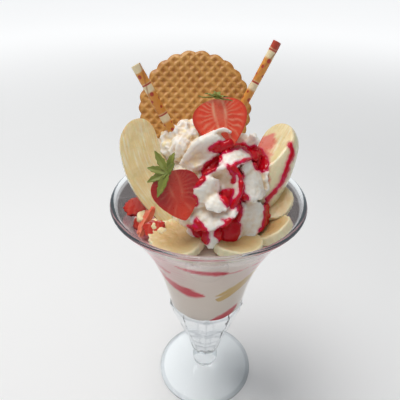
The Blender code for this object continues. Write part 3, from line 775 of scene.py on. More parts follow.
def petal_mesh(petal, number):
    """A fine grid laid from root to lip, with torn edges and pleats, and thickened."""
    bm = bmesh.new()
    bmesh.ops.create_grid(bm, x_segments=PETAL_GRID[0], y_segments=PETAL_GRID[1], size=0.5)
    across_of = {vertex.index: vertex.co.y + 0.5 for vertex in bm.verts}
    for vertex in bm.verts:
        along, across = vertex.co.x + 0.5, vertex.co.y + 0.5
        low, high = line_place(petal.root, along), line_place(petal.lip, along)
        reach = (high - low).length
        seed = Vector((along * 40.0, number * 7.3, 0.0))
        tears = abs(noise.noise(seed)) * 3.4 + 0.9 * noise.noise(seed * 2.3) - 0.6
        end = math.sin(math.pi * min(max(along, 0.0), 1.0)) ** 0.5
        stretch = 1 + (petal.ragged * tears * across**2 - 0.5 * (1 - end)) / max(reach, 1.0)
        place = low.lerp(high, across * stretch)
        place.z -= petal.hollow * math.sin(math.pi * across**0.85)
        pleat = noise.noise(Vector((along * 26.0, across * 1.5, number * 3.1)))
        place.z += (0.8 * petal.ragged + 0.3) * pleat * across
        vertex.co = over_mound(*place)
    obj = skinned("petal", bm)
    thinner = obj.vertex_groups.new(name="thinner")
    for step, (low, high) in enumerate(((0.0, 0.5), (0.5, 0.75), (0.75, 0.9), (0.9, 1.01))):
        index = [v for v, part in across_of.items() if low <= part < high]
        thinner.add(index, 1.0 - 0.17 * step, "REPLACE")
    return thickened(obj, petal.thickness * MM, group="thinner")


def fluff_mesh(centre, radius):
    """A lump of loose cream, creased all over."""
    bm = bmesh.new()
    bmesh.ops.create_icosphere(bm, subdivisions=6, radius=radius * MM)
    for vertex in bm.verts:
        place = vertex.co + centre
        crease = 1 - 2 * abs(noise.noise(place / (4.6 * MM)))
        crease = 0.7 * crease + 0.3 * (1 - 2 * abs(noise.noise(place / (1.9 * MM))))
        vertex.co = place + vertex.co.normalized() * FLUFF_DEPTH * (crease - 0.35)
    return skinned("fluff", bm)


def on_mound(bearing, height):
    """A point of the mound's surface, and the direction out of it."""
    turn = math.radians(bearing)
    lift = (height * MM - MOUND_CENTRE.z) / MOUND_RADII.z
    share = math.sqrt(max(1 - lift * lift, 0.0))
    unit = Vector((share * math.sin(turn), -share * math.cos(turn), lift))
    point = MOUND_CENTRE + unit * MOUND_RADII
    outward = Vector([u / r for u, r in zip(unit, MOUND_RADII)]).normalized()
    return point, outward


def fold_surface(fold, along, across):
    """The point of a fold at `along` (0 to 1, end to end) and `across` (0 root, 1 lip)."""

    def root(share):
        bearing = mix(fold.start[0], fold.end[0], share)
        height = mix(fold.start[1], fold.end[1], share)
        return on_mound(bearing, height + fold.bow * math.sin(math.pi * share))

    point, outward = root(along)
    before, after = root(max(along - 0.02, 0.0))[0], root(min(along + 0.02, 1.0))[0]
    upward = outward.cross((after - before).normalized()).normalized()
    if upward.z < 0:
        upward = -upward
    depth = fold.width * MM * (0.35 + 0.65 * math.sqrt(max(math.sin(math.pi * along), 0.0)))
    length = noise.noise(Vector((along * 9.0, fold.start[1], fold.end[0])))
    tears = noise.noise(Vector((along * 34.0, fold.start[1], 0.0)))
    depth += (0.8 * length + fold.ragged * (tears - 0.2)) * across * across * MM
    lean, curl = math.radians(fold.lean), math.radians(fold.curl)
    turn_radius = depth / curl
    angle = lean + curl * across
    rise = turn_radius * (math.sin(angle) - math.sin(lean))
    out = turn_radius * (math.cos(lean) - math.cos(angle))
    return point - outward * 2.0 * MM + upward * rise + outward * out


def fold_mesh(fold):
    """A fine grid laid on the fold's surface and thickened, most at its lip."""
    bm = bmesh.new()
    bmesh.ops.create_grid(bm, x_segments=72, y_segments=24, size=0.5)
    for vertex in bm.verts:
        vertex.co = fold_surface(fold, vertex.co.x + 0.5, vertex.co.y + 0.5)
    return thickened(skinned("fold", bm), fold.thickness * MM)


def ball(centre, radii, segments=48):
    """A smooth egg of cream."""
    bm = bmesh.new()
    bmesh.ops.create_uvsphere(bm, u_segments=segments, v_segments=segments // 2, radius=1.0)
    bmesh.ops.scale(bm, vec=radii, verts=bm.verts)
    bmesh.ops.translate(bm, vec=centre, verts=bm.verts)
    return skinned("ball", bm)


def core_mesh():
    """The mound's filled middle; at the back the ridges of the piping wind up round it."""
    core = ball(MOUND_CENTRE, MOUND_RADII - Vector((1, 1, 1)) * MOUND_CORE, 144)
    for vertex in core.data.vertices:
        out = vertex.co - MOUND_CENTRE
        bearing = math.atan2(out.x, -out.y) / (2 * math.pi)
        wander = lumps(vertex.co, (0.25, 14.0))
        ridge = abs(math.sin(math.pi * (vertex.co.z / RIDGE_PITCH - bearing + wander))) ** 0.7
        vertex.co += out.normalized() * ridge * RIDGE_DEPTH * smoothstep(-5, 10, out.y / MM)
    return core


def joined(name, shapes):
    """One object holding every shape's mesh; the shapes are removed."""
    bm = bmesh.new()
    for shape in shapes:
        bm.from_mesh(shape.data)
        bpy.data.objects.remove(shape)
    return from_bmesh(name, bm)


def cream_finish():
    """Whipped cream: ivory, with painted tan shade in its hollows; yellower in places, pink where sauce
    soaks in.
    """
    made = Finish(
        "whipped_cream", Roughness=0.42, Subsurface_Weight=0.35, Subsurface_Scale=0.003,
        Subsurface_Radius=(1.0, 0.9, 0.75)
    )
    pale = made.mottled(90.0, 3.0, (0.88, 0.83, 0.74), (0.95, 0.92, 0.86))
    # painted shade: tan where the cream lies in a hollow
    shaded = made.blend(made.attribute("hollow"), pale, (0.76, 0.56, 0.33))
    yellower = made.blend(made.attribute("yellow"), shaded, (0.92, 0.76, 0.42))
    made.colour(made.blend(made.attribute("soaked"), yellower, (0.80, 0.16, 0.24)))
    made.grain(700.0, 4.0, 0.5 * MM, 0.5, 0.6)
    return made.material


def hollow_shade_share(obj, iterations, depth):
    """For each vertex, how deep it lies in a hollow, as a mask for painted shade: 0 on ridges, 1 at `depth`
    or more.
    """
    even = link("even", obj.data.copy())
    smooth = even.modifiers.new("even", "SMOOTH")
    smooth.factor = 0.8
    smooth.iterations = iterations
    applied(even)
    shares = []
    for vertex, smoothed in zip(obj.data.vertices, even.data.vertices):
        below = (smoothed.co - vertex.co).dot(vertex.normal)
        shares.append(smoothstep(-0.5, 1.0, below / depth))
    bpy.data.objects.remove(even)
    return shares


def crinkle(obj):
    """Gives the cream the fine unevenness of something whipped."""
    normals = [vertex.normal.copy() for vertex in obj.data.vertices]
    for vertex, normal in zip(obj.data.vertices, normals):
        vertex.co += normal * lumps(vertex.co, (0.30, 2.6), (0.24, 1.3)) * MM


def yellow_share(vertex):
    """The scoops of ice cream beside the strawberry pieces, and a tinge in the loose cream."""
    place = vertex.co / MM
    scoops = smoothstep(-21, -26, place.x) * smoothstep(184, 180, place.z) * smoothstep(-10, -16, place.y)
    patch = noise.noise(place / 5.0) + 0.5 * noise.noise(place / 2.0)
    return max(0.9 * scoops, 0.75 * smoothstep(0.05, 0.55, patch) * smoothstep(-2, -10, place.x))


def make_cream():
    """The cream: all its shapes under one skin, then crinkled."""
    shapes = [core_mesh()]
    shapes += [fluff_mesh(Vector(centre) * MM, radius) for centre, radius in HEAPS]
    for heap in FRONT_HEAPS:
        shapes.append(ball(over_mound(*heap[:3]), Vector((heap[3],) * 3) * MM))
    shapes += [fold_mesh(fold) for fold in FOLDS]
    shapes += [petal_mesh(petal, number) for number, petal in enumerate(PETALS)]
    shapes += [fluff_mesh(over_mound(*lump[:3]), lump[3]) for lump in FLUFF]
    shapes += [fluff_mesh(Vector(centre) * MM, radius) for centre, radius in SCOOPS]
    cream = joined("cream", shapes)
    for vertex in cream.data.vertices:
        vertex.co.z = max(vertex.co.z, CREAM_FLOOR)
    skin = cream.modifiers.new("one skin", "REMESH")
    skin.mode = "VOXEL"
    skin.voxel_size = CREAM_CELL
    soften = cream.modifiers.new("soften", "SMOOTH")
    soften.factor = 0.5
    soften.iterations = 1
    applied(cream)
    crinkle(cream)
    cream.data.shade_smooth()
    # hollow: the mask of the painted shade in the cream's hollows
    store(cream, "hollow", hollow_shade_share(cream, 60, 1.15 * MM))
    store(cream, "yellow", map(yellow_share, cream.data.vertices))
    return finish_piece(cream, cream_finish(), "whipped_cream", "whipped_cream")


# ---------- sauce ----------

SAUCE_DEPTH = 0.95 * MM
SAUCE_DEPTH_ON_FRUIT = 0.5 * MM
SAUCE_SUNK = 0.35 * MM
# Outlines of the pools on the board, and streams through places on it, each with its width.
POOLS = (
    [(4.5, 31.5), (8, 35), (14, 37), (19, 39), (22, 36), (26, 36), (30, 33), (33, 29), (29, 29.5), (25, 32),
     (21, 31.5), (16.5, 29.5), (13, 29), (9, 29.5)],
    [(1, 18), (2, 22), (6, 25), (10.5, 27.5), (14.5, 30), (14, 26), (12, 22), (9.5, 18.5), (6, 16.5),
     (2.5, 14.5)],
    [(-5, 7), (-2.5, 11.5), (2.5, 15.5), (4, 13), (-0.5, 8.5)],
    [(11.5, 4), (14, 6.5), (21, 7.5), (21, 3), (19.5, -3.5), (17, -4.5), (13, 0)],
    [(24, 1), (27, 5), (30, 3), (30.5, 0), (26, -1), (23, -3)],
    [(8, -20), (12, -16.5), (16.5, -15), (14, -12.5), (21.5, -11.5), (26, -15.5), (25.5, -20), (23.5, -25),
     (16.5, -28.5), (12, -26), (9.5, -23)],
    [(32, 25), (30, 33), (34, 34.5), (39, 32), (42, 27), (43.5, 23), (42.5, 18.5), (39, 17.5), (35, 19)],
    [(39.5, -1.5), (42.5, -2.5), (48, -8.5), (44, -13), (42, -18.5), (35, -23), (38.5, -16.5), (40, -8)],
    [(-8, -16), (-4.5, -15.5), (-1, -18), (3, -20), (4, -27), (1, -26), (-4.5, -22)],
)
# Where thin sauce stains the cut face of the right banana half.
STAIN = [
    (30, 30), (33, 36), (40, 40), (46.5, 42), (47, 37), (43.5, 31), (43, 24), (42.5, 12), (38, 5), (36, 18)
]
STREAMS = (
    (((17.5, 21.5), (19, 17.5), (21, 15), (21, 11)), 1.2),
    (((20, 20.5), (24.5, 17), (26, 11.5), (25.5, 5.5), (24, 1), (21.5, -2), (20, -4.5)), 1.5),
    (((23.5, -1), (25, -7), (23.5, -12), (18, -13.5)), 1.7),
    (((-6.5, -2.5), (-5, 2.5), (-2.5, 0), (-2.5, -3)), 1.2),
    (((-2.5, -12.5), (-1.5, -14), (1, -17), (4, -20.5), (4, -26)), 1.6),
    (((13, 29), (20, 31.5), (27, 35), (33, 27), (27, 24.5), (22, 22)), 1.1),
    (((56, 35), (57.5, 29), (55, 22), (52.5, 14), (47, 6), (42, 0)), 1.35),
)
SAUCE_STEP = 0.5  # of the grid on the board at which the reach of the sauce is worked out, in mm
DROPS_A_STRETCH = 8  # from one place of a stream to the next
FAR_OUTSIDE = -9.0  # what counts as nowhere near the sauce, in mm


def stream_drops():
    """Places along every stream, each with the stream's width there."""
    drops = []
    for stream, width in STREAMS:
        steps = DROPS_A_STRETCH * (len(stream) - 1)
        for i in range(steps + 1):
            swell = 1 + 0.35 * noise.noise(Vector((i * 0.35, width * 9, 0.0)))
            drops.append((*line_place(stream, i / steps), width * swell))
    return drops


class SauceMap:
    """How far places on the board are inside the sauce, in mm; outside it's negative."""

    def __init__(self):
        self.drops = stream_drops()
        self.known = {}

    def at_cell(self, column, row):
        """The reach at a corner of the grid, worked out once."""
        if (column, row) in self.known:
            return self.known[column, row]
        x, y = column * SAUCE_STEP, row * SAUCE_STEP
        ripple = Vector((x * 0.30, y * 0.30, 4.0))
        edge = 1.1 * noise.noise(ripple) + 0.5 * noise.noise(ripple * 3.0)
        most = FAR_OUTSIDE
        for drop_x, drop_y, width in self.drops:
            if abs(drop_x - x) < 6 and abs(drop_y - y) < 6:
                most = max(most, width - math.hypot(drop_x - x, drop_y - y))
        for pool in POOLS:
            if abs(pool[0][0] - x) < 30 and abs(pool[0][1] - y) < 30:
                most = max(most, inside_by(x, y, pool))
        self.known[column, row] = most + edge
        return most + edge

    def reach(self, place):
        """The reach at any place, from the grid's corners round it."""
        x, y = place.x / SAUCE_STEP, place.y / SAUCE_STEP
        column, row = math.floor(x), math.floor(y)
        x, y = x - column, y - row
        low = mix(self.at_cell(column, row), self.at_cell(column + 1, row), x)
        high = mix(self.at_cell(column, row + 1), self.at_cell(column + 1, row + 1), x)
        return mix(low, high, y)


def sauce_coat(name, base, finish, sauce, depth):
    """A coat of sauce laid on a piece, with rounded edges that meet its surface."""
    bm = bmesh.new()
    bm.from_mesh(base.data)
    layers = value_layers(bm, "thick")
    reach = {vertex: FAR_OUTSIDE for vertex in bm.verts}
    for vertex in bm.verts:
        facing = towards_lookout(vertex)
        if facing > -0.3:
            facing_loss = 2.0 * (1 - smoothstep(-0.3, 0.05, facing))
            reach[vertex] = sauce.reach(on_board(vertex.co)) - facing_loss
    store(base, "soaked", (0.75 * smoothstep(-1.5, 0.1, inside) for inside in reach.values()))
    bmesh.ops.delete(bm, geom=[vertex for vertex in bm.verts if reach[vertex] < -1.2], context="VERTS")
    if not bm.faces:
        bm.free()
        return
    for vertex in bm.verts:
        inside = reach[vertex]
        full = 1 - math.exp(-max(inside, 0.0) / 0.8)
        swell = 1 + lumps(vertex.co, (0.45, 4.5))
        write(vertex, layers, full)
        vertex.co += vertex.normal * (depth * full * swell if inside > 0 else SAUCE_SUNK * inside)
    bmesh.ops.smooth_vert(bm, verts=bm.verts, factor=0.5, use_axis_x=True, use_axis_y=True, use_axis_z=True)
    finish_piece(thickened(skinned(name, bm), SAUCE_SUNK, -1.0), finish, "")


def make_sauce(pieces):
    """A coat of sauce for each piece, thinner on the fruit."""
    finish = sauce_finish()
    sauce = SauceMap()
    for piece in pieces:
        depth = SAUCE_DEPTH if piece.name == "cream" else SAUCE_DEPTH_ON_FRUIT
        sauce_coat(f"sauce_on_{piece.name}", piece, finish, sauce, depth)


def sauce_finish():
    """Berry sauce: deep red where thick, magenta where thin, and wet."""
    made = Finish(
        "berry_sauce", Roughness=0.12, Specular_IOR_Level=0.35, Subsurface_Weight=0.1, Subsurface_Scale=0.001
    )
    patchy = made.maths("ADD", made.attribute("thick"), made.times(made.patches(120.0), 0.3))
    thick = made.ramp(patchy, 0.40, 0.85)
    made.colour(made.blend(thick, (0.60, 0.012, 0.080), (0.56, 0.0015, 0.010)))
    made.grain(160.0, 2.0, 0.3 * MM, 0.25)
    return made.material


# ---------- banana ----------

BANANA_RADIUS = 13.2 * MM
BANANA_TIP = 13.0 * MM
SOFT_EDGE = 0.45 * MM  # how round a cut edge of fruit is

# The cut crosses the banana's axis at the share `cut` of its length, `slant` degrees from it.
Half = namedtuple("Half", "foot tip facing bend cut slant")
BANANA_HALVES = {
    "banana_half_left": Half(
        (-17.5, -20.5, 175.0), (-44.0, 5.5, 225.5), (0.50, -0.75, 0.44), -6.0, 0.0, 0.0
    ),
    "banana_half_right": Half(
        (18.7, -14.0, 168.5), (46.7, 13.5, 220.0), (-0.66, -0.42, 0.60), 5.0, 1.02, 20.0
    ),
}


def cut_flat(vertex, point, outward):
    """Presses a vertex back to a plane with a soft edge; returns how deep the cut is there."""
    beyond = (vertex.co - point).dot(outward)
    if beyond < -12 * SOFT_EDGE:
        return 0.0
    kept = -SOFT_EDGE * math.log1p(math.exp(-beyond / SOFT_EDGE))
    vertex.co -= outward * (beyond - kept)
    return smoothstep(0.0, 1.0 * MM, beyond)


def wrapped_grid(along, around, *values):
    """A grid to be wrapped as a tube: each vertex with its shares along and around."""
    bm = bmesh.new()
    layers = value_layers(bm, *values)
    bmesh.ops.create_grid(bm, x_segments=along, y_segments=around, size=0.5)
    shares = {vertex: (vertex.co.x + 0.5, vertex.co.y + 0.5) for vertex in bm.verts}
    return bm, shares, layers


def close_tube(bm):
    """Welds the seam and the tip, and fills what is still open."""
    bmesh.ops.remove_doubles(bm, verts=bm.verts, dist=0.02 * MM)
    edges = [edge for edge in bm.edges if edge.is_boundary]
    if edges:
        bmesh.ops.holes_fill(bm, edges=edges, sides=0)


def banana_half(name, half, finish):
    """A banana's end, cut lengthwise: flat towards `facing`, with a round tip."""
    foot, tip = Vector(half.foot) * MM, Vector(half.tip) * MM
    length = (tip - foot).length
    slant = math.radians(half.slant)
    outward = Vector((0.0, -math.cos(slant), math.sin(slant)))
    plane = Vector((0.0, 0.0, length * half.cut))
    bm, shares, layers = wrapped_grid(110, 72, "cut", "across", "along")
    for vertex, (along, around) in shares.items():
        share = mix(along, math.sin(math.pi / 2 * along), 0.8)
        rest = length * (1 - share)
        round_share = min(rest / BANANA_TIP, 1.0)
        radius = BANANA_RADIUS * math.sqrt(max(1 - (1 - round_share) ** 2, 0.0))
        radius *= 0.90 + 0.10 * math.sin(math.pi * min(share * 1.2, 1.0))
        turn = 2 * math.pi * around
        radius *= 1 + 0.018 * math.cos(5 * turn + 0.6)
        bow = half.bend * MM * math.sin(math.pi * share)
        place = Vector((radius * math.cos(turn) + bow, radius * math.sin(turn), length * share))
        vertex.co = place
        depth = cut_flat(vertex, plane, outward)
        vertex.co += outward * lumps(place, (0.35, 7.0), (0.10, 2.2)) * MM * depth
        write(vertex, layers, depth, (place.x - bow) / BANANA_RADIUS, length * share / MM)
    close_tube(bm)
    lay(bm, foot, tip - foot, half.facing)
    flesh = skinned(f"{name}_flesh", bm)
    store(flesh, "stain", map(stain_share, flesh.data.vertices))
    return finish_piece(flesh, finish, "banana", name)


def stain_share(vertex):
    """How much thin sauce stains a place on the banana."""
    facing = smoothstep(0.0, 0.3, towards_lookout(vertex))
    inside = inside_by(*on_board(vertex.co), STAIN) + lumps(vertex.co, (2.4, 5.0), (1.0, 1.6))
    return facing * smoothstep(-1.2, 1.6, inside)


def banana_finish():
    """Peeled banana: pale and finely fibrous outside, moister and yellower where it is cut."""
    made = Finish(
        "banana_flesh", Subsurface_Weight=0.2, Subsurface_Scale=0.003, Coat_Weight=0.5, Coat_Roughness=0.15
    )
    across, along = made.times(made.attribute("across"), 9.0), made.times(made.attribute("along"), 0.06)
    lengthwise = made.fill(made.node("CombineXYZ"), across, along).outputs["Vector"]
    strands = made.noise(lengthwise, Scale=1.4, Detail=4.0)
    outside = made.blend(strands, (0.72, 0.62, 0.36), (0.82, 0.75, 0.52))
    moist = made.mottled(130.0, 4.0, (0.78, 0.59, 0.24), (0.88, 0.76, 0.44))
    moist = made.blend(made.ramp(strands, 0.45, 0.7), moist, (0.88, 0.81, 0.57))
    clean = made.blend(made.attribute("cut"), outside, moist)
    veiled = made.mottled(170.0, 4.0, (0.78, 0.16, 0.12), (0.70, 0.05, 0.06))
    stained = made.blend(made.times(made.attribute("stain"), 0.85), clean, veiled)
    made.colour(made.blend(made.attribute("soaked"), stained, (0.68, 0.06, 0.10)))
    made.uneven_gloss(180.0, 0.22, 0.45)
    made.bump(strands, 0.35 * MM, 0.6)
    return made.material


# A slice lies with its flat face towards `facing`.
Coin = namedtuple("Coin", "centre facing radius")
COIN_THICKNESS = 5.5 * MM
BANANA_COINS = {
    "banana_coin_front_left": Coin((-17.5, -39.0, 172.7), (-0.10, -0.06, 0.99), 16.6),
    "banana_coin_front_right": Coin((15.5, -41.5, 172.5), (0.06, 0.05, 0.99), 14.0),
    "banana_coin_right": Coin((38.5, -14.0, 181.5), (-0.20, -0.50, 0.84), 12.0),
    "banana_coin_right_low": Coin((36.5, -30.5, 172.5), (-0.50, 0.22, 0.84), 12.0),
    "banana_coin_in_glass": Coin((14.0, -18.0, 121.5), (-0.46, -0.34, 0.82), 15.7),
}


def keep_in_glass(bm, reach):
    """Presses what would pass the inside of the bowl back to it, moved out by `reach`."""
    for vertex in bm.verts:
        radius = radius_of(vertex.co)
        most = bowl_radius(max(vertex.co.z, NECK_HEIGHT)) - WALL + reach
        if vertex.co.z <= LIP_HEIGHT and radius > most:
            vertex.co.x *= most / radius
            vertex.co.y *= most / radius


def fray_edge(bm, reach, centre):
    """Tears the back left part of a slice's edge into soft crumbs."""
    for vertex in bm.verts:
        out = (vertex.co - centre).normalized()
        share = smoothstep(0.1, 0.6, out.dot(Vector((-0.75, 0.66, 0.0)))) * vertex[reach] ** 5
        torn = lumps(vertex.co, (2.6, 2.4), (1.2, 1.1))
        vertex.co += (out * (torn - 0.8) + Vector((0, 0, 0.7 * torn))) * share * MM


def banana_coin(name, coin, finish):
    """A slice of banana, not quite round, with soft edges and an uneven cut."""
    centre, radius = Vector(coin.centre) * MM, coin.radius * MM
    half, edge = COIN_THICKNESS / 2, 1.0 * MM
    flat = [(radius - edge) * i / 22 for i in range(22)]
    top = [(r, half) for r in flat] + arc(radius - edge, half - edge, edge, 90.0, 0.0, 5)
    bottom = [(r, -z) for r, z in reversed(top)]
    bm = spun(top + bottom, 96)
    layers = value_layers(bm, "radial", "turn")
    for vertex in bm.verts:
        turn = math.atan2(vertex.co.y, vertex.co.x)
        reach = radius_of(vertex.co) / radius
        wobble = 1 + 0.03 * math.cos(3 * turn + coin.radius) + 0.02 * math.cos(5 * turn)
        wobble += 0.012 * math.cos(24 * turn + 2 * math.cos(3 * turn)) * reach
        write(vertex, layers, reach, turn)
        dish = -0.5 * math.exp(-((reach / 0.35) ** 2)) if vertex.co.z > 0 else 0.0
        rise = (lumps(vertex.co + centre, (0.30, 3.0), (0.16, 1.1)) + dish) * MM
        vertex.co = Vector((vertex.co.x * wobble, vertex.co.y * wobble, vertex.co.z + rise))
    lay(bm, centre, coin.facing)
    if name == "banana_coin_front_left":
        fray_edge(bm, layers[0], centre)
    keep_in_glass(bm, 2 * INTO_WALL if name == "banana_coin_in_glass" else -GAP)
    finish_piece(skinned(f"{name}_flesh", bm), finish, "banana_coin", name)


def coin_finish():
    """Cut banana: a pale rim, a moist yellow core, and three browner spokes in its middle."""
    made = Finish(
        "banana_slice", Subsurface_Weight=0.2, Subsurface_Scale=0.003, Coat_Weight=0.2, Coat_Roughness=0.25
    )
    radial, turn = made.attribute("radial"), made.attribute("turn")
    flesh = made.mottled(160.0, 4.0, (0.60, 0.44, 0.20), (0.76, 0.62, 0.36))
    core = made.ramp(made.maths("ADD", radial, made.times(made.patches(140.0), 0.16)), 1.02, 0.60)
    flesh = made.blend(made.times(core, 0.7), flesh, (0.60, 0.37, 0.13))
    thirds = made.maths("ABSOLUTE", made.maths("COSINE", made.times(turn, 1.5)))
    spokes = made.times(made.maths("POWER", thirds, 8.0), made.ramp(radial, 0.42, 0.12))
    flesh = made.blend(made.times(spokes, 0.6), flesh, (0.62, 0.38, 0.12))
    rim = made.ramp(radial, 0.86, 0.97)
    made.colour(made.blend(made.times(rim, 0.7), flesh, (0.84, 0.76, 0.52)))
    made.uneven_gloss(200.0, 0.3, 0.55)
    made.grain(420.0, 3.0, 0.25 * MM, 0.5)
    return made.material


def make_bananas():
    finish = banana_finish()
    made = [banana_half(name, half, finish) for name, half in BANANA_HALVES.items()]
    finish = coin_finish()
    for name, coin in BANANA_COINS.items():
        banana_coin(name, coin, soaked_finish() if name.endswith("in_glass") else finish)
    return made


def soaked_finish():
    """Banana among the ice cream, blurred and browned by it."""
    made = Finish("soaked_banana", Roughness=0.5)
    made.colour(made.mottled(90.0, 4.0, *SOAKED_BANANA))
    return made.material


# ---------- strawberries ----------

# How far the pith and veins show, and how deep red one side is, are shares.
Berry = namedtuple("Berry", "crown tip facing radius pith ripe")
BERRIES = {
    "strawberry_half_top": Berry(
        (3.2, -9.5, 243.5), (9.0, -21.0, 218.0), (-0.05, -0.90, 0.42), 14.6, 1.0, 0.15
    ),
    "strawberry_half_front": Berry(
        (-20.5, -37.5, 215.0), (-12.5, -48.0, 191.8), (0.12, -0.86, 0.50), 12.8, 0.26, 1.0
    ),
}
CORE_HALF_WIDTH = 2.6  # of the pith, in mm
SEED_TURN = math.radians(137.5)
SEEDS = 150
SEED_SIZE = Vector((0.42, 0.28, 0.72)) * MM


def berry_radius(share):
    """The outline of a strawberry, from its crown (0) to its tip (1), as a share."""
    return max(math.sin(math.pi * min(max(share, 0.0), 1.0) ** 0.62), 0.0) ** 0.72


def vein_share(x, along, width, seed):
    """How pale the cut flesh is: pith edges, and veins that run out from the pith."""
    away = abs(x)
    core = 1 - smoothstep(0.75, 1.1, along / 0.62)
    edge = CORE_HALF_WIDTH * (0.55 + 0.6 * math.sin(math.pi * min(along / 0.7 + 0.15, 1.0)))
    pith = math.exp(-(((away - edge) / 0.8) ** 2)) * core
    inside = 0.25 * (1 - smoothstep(edge - 1.0, edge, away)) * core
    lift = (along - 0.30) * 26.0
    angle = math.atan2(away + 2.0, lift + 0.25 * away)
    wander = 0.5 * noise.noise(Vector((x * 0.25, along * 6.0, seed)))
    stripes = (0.5 + 0.5 * math.cos(angle * 30.0 + wander * 6.0)) ** 3
    reach = smoothstep(edge * 0.8, edge + 1.0, away) * (1 - smoothstep(0.62, 0.98, away / max(width, 0.1)))
    crown = 1 - smoothstep(0.02, 0.16, along + 0.012 * away)
    return min(max(pith, inside, 0.62 * stripes * reach, 0.8 * crown), 1.0)


def berry_place(radius, turn, drop):
    """A point of a berry that hangs from its crown, at a radius, a turn and a drop."""
    return Vector((radius * math.cos(turn), radius * math.sin(turn), -drop))


def seed_places(full_radius, length):
    """Even places of the seeds on the berry's uncut half."""
    for number in range(SEEDS):
        share = 0.06 + 0.90 * ((number + 0.5) / SEEDS) ** 0.9
        place = berry_place(full_radius * berry_radius(share), number * SEED_TURN, length * share)
        if place.y > 0.6 * MM:
            yield place


def berry_half(name, berry, finish, seed_finish):
    """Half a strawberry: flat and veined where it is cut, dimpled skin with seeds behind."""
    crown, tip = Vector(berry.crown) * MM, Vector(berry.tip) * MM
    length = (tip - crown).length
    seeds = list(seed_places(berry.radius * MM, length))
    tree = KDTree(len(seeds))
    for number, seed in enumerate(seeds):
        tree.insert(seed, number)
    tree.balance()
    bm, shares, layers = wrapped_grid(90, 120, "cut", "pale", "deep")
    for vertex, (along, around) in shares.items():
        share = 0.5 - 0.5 * math.cos(math.pi * along)
        turn = 2 * math.pi * around
        full = berry.radius * MM * berry_radius(share)
        place = berry_place(full * (1 + 0.02 * math.cos(3 * turn + crown.x / MM)), turn, length * share)
        dimple = math.exp(-((tree.find(place)[2] / (0.9 * MM)) ** 2))
        place -= place.normalized() * dimple * 0.35 * MM
        vertex.co = place
        depth = cut_flat(vertex, Vector((0, 0, 0)), FRONT)
        x, width = place.x / MM, full / MM
        pale = vein_share(x, share, width, crown.x / MM) * berry.pith * depth
        vertex.co.y -= (0.25 * pale - 0.12) * MM * depth
        aside = abs(x) / max(width, 0.1)
        ripe = berry.ripe * (0.65 + 0.35 * smoothstep(0.15, 0.7, aside))
        ripe *= 1 - 0.55 * smoothstep(0.5, 0.9, share)
        write(vertex, layers, depth, pale, max(0.55 * smoothstep(0.80, 1.0, aside), ripe) * depth)
    close_tube(bm)
    move = lay(bm, crown, crown - tip, berry.facing)
    finish_piece(skinned(f"{name}_flesh", bm), finish, "strawberry", name)
    bm = bmesh.new()
    for seed in seeds:
        made = bmesh.ops.create_icosphere(bm, subdivisions=1, radius=1.0)["verts"]
        bmesh.ops.scale(bm, vec=SEED_SIZE, verts=made)
        sunk = Matrix.Translation(seed - seed.normalized() * 0.22 * MM)
        upright = frame_of((0, 0, 1), Vector((seed.x, seed.y, 0.0)).normalized())
        bmesh.ops.transform(bm, verts=made, matrix=move @ sunk @ upright)
    finish_piece(skinned(f"{name}_seeds", bm), seed_finish, "strawberry")


def berry_finish():
    """Strawberry: orange-red veined flesh, a redder edge, and glossy deep red skin."""
    made = Finish(
        "strawberry_flesh", Subsurface_Weight=0.1, Subsurface_Scale=0.001, Coat_Weight=0.3,
        Coat_Roughness=0.1
    )
    flesh = made.mottled(160.0, 4.0, (0.86, 0.036, 0.008), (0.94, 0.090, 0.020))
    flesh = made.blend(made.attribute("deep"), flesh, (0.42, 0.005, 0.004))
    broken = made.ramp(made.patches(210.0), 0.3, 0.6, 0.35, 1.0)
    flesh = made.blend(made.times(made.attribute("pale"), broken), flesh, (0.95, 0.42, 0.25))
    skin = made.mottled(90.0, 3.0, (0.36, 0.010, 0.008), (0.50, 0.022, 0.010))
    made.colour(made.blend(made.attribute("cut"), skin, flesh))
    made.uneven_gloss(260.0, 0.22, 0.42)
    made.grain(600.0, 3.0, 0.15 * MM, 0.4)
    return made.material


Chunk = namedtuple("Chunk", "centre along facing size")
STRAWBERRY_CHUNKS = {
    "strawberry_piece_back": Chunk(
        (-44.0, -11.5, 175.5), (-0.95, 0.10, -0.25), (0.2, -0.6, 0.8), (6.0, 4.6, 8.5)
    ),
    "strawberry_piece_low": Chunk(
        (-41.5, -21.0, 170.0), (0.4, 0.3, 0.8), (-0.3, -0.6, 0.7), (4.2, 4.0, 5.0)
    ),
    "strawberry_piece_slice": Chunk(
        (-36.5, -27.5, 176.0), (0.42, 0.50, 0.76), (0.6, -0.7, 0.3), (2.0, 5.0, 9.5)
    ),
    "strawberry_piece_front": Chunk(
        (-31.5, -32.0, 174.6), (0.9, 0.1, 0.3), (0.0, -0.7, 0.7), (4.2, 4.0, 6.0)
    ),
}


def strawberry_chunk(name, chunk, finish):
    """A torn wet piece of strawberry: uneven, with one flatter cut side."""
    bm = bmesh.new()
    bmesh.ops.create_icosphere(bm, subdivisions=6, radius=1.0)
    layers = value_layers(bm, "cut", "pale", "deep")
    centre, size = Vector(chunk.centre) * MM, Vector(chunk.size) * MM
    paler = name.endswith("slice")
    for vertex in bm.verts:
        unit = vertex.co.copy()
        lump = 0.30 * noise.noise(unit * 1.7 + centre * 90) + 0.18 * noise.noise(unit * 4.0 + centre * 70)
        vertex.co = unit * size * (1 + lump)
        depth = cut_flat(vertex, FRONT * 0.35 * size.y, FRONT)
        stripes = (0.5 + 0.5 * math.cos(unit.z * 13.0 + 3.0 * unit.x)) ** 2
        pale = 0.12 * stripes * depth + (0.5 if paler else 0.0)
        write(vertex, layers, 1.0, pale, 0.25 if paler else 1.0 - 0.3 * depth)
    lay(bm, centre, chunk.along, chunk.facing)
    keep_in_glass(bm, -GAP)
    finish_piece(skinned(f"{name}_flesh", bm), finish, "strawberry_piece", name)


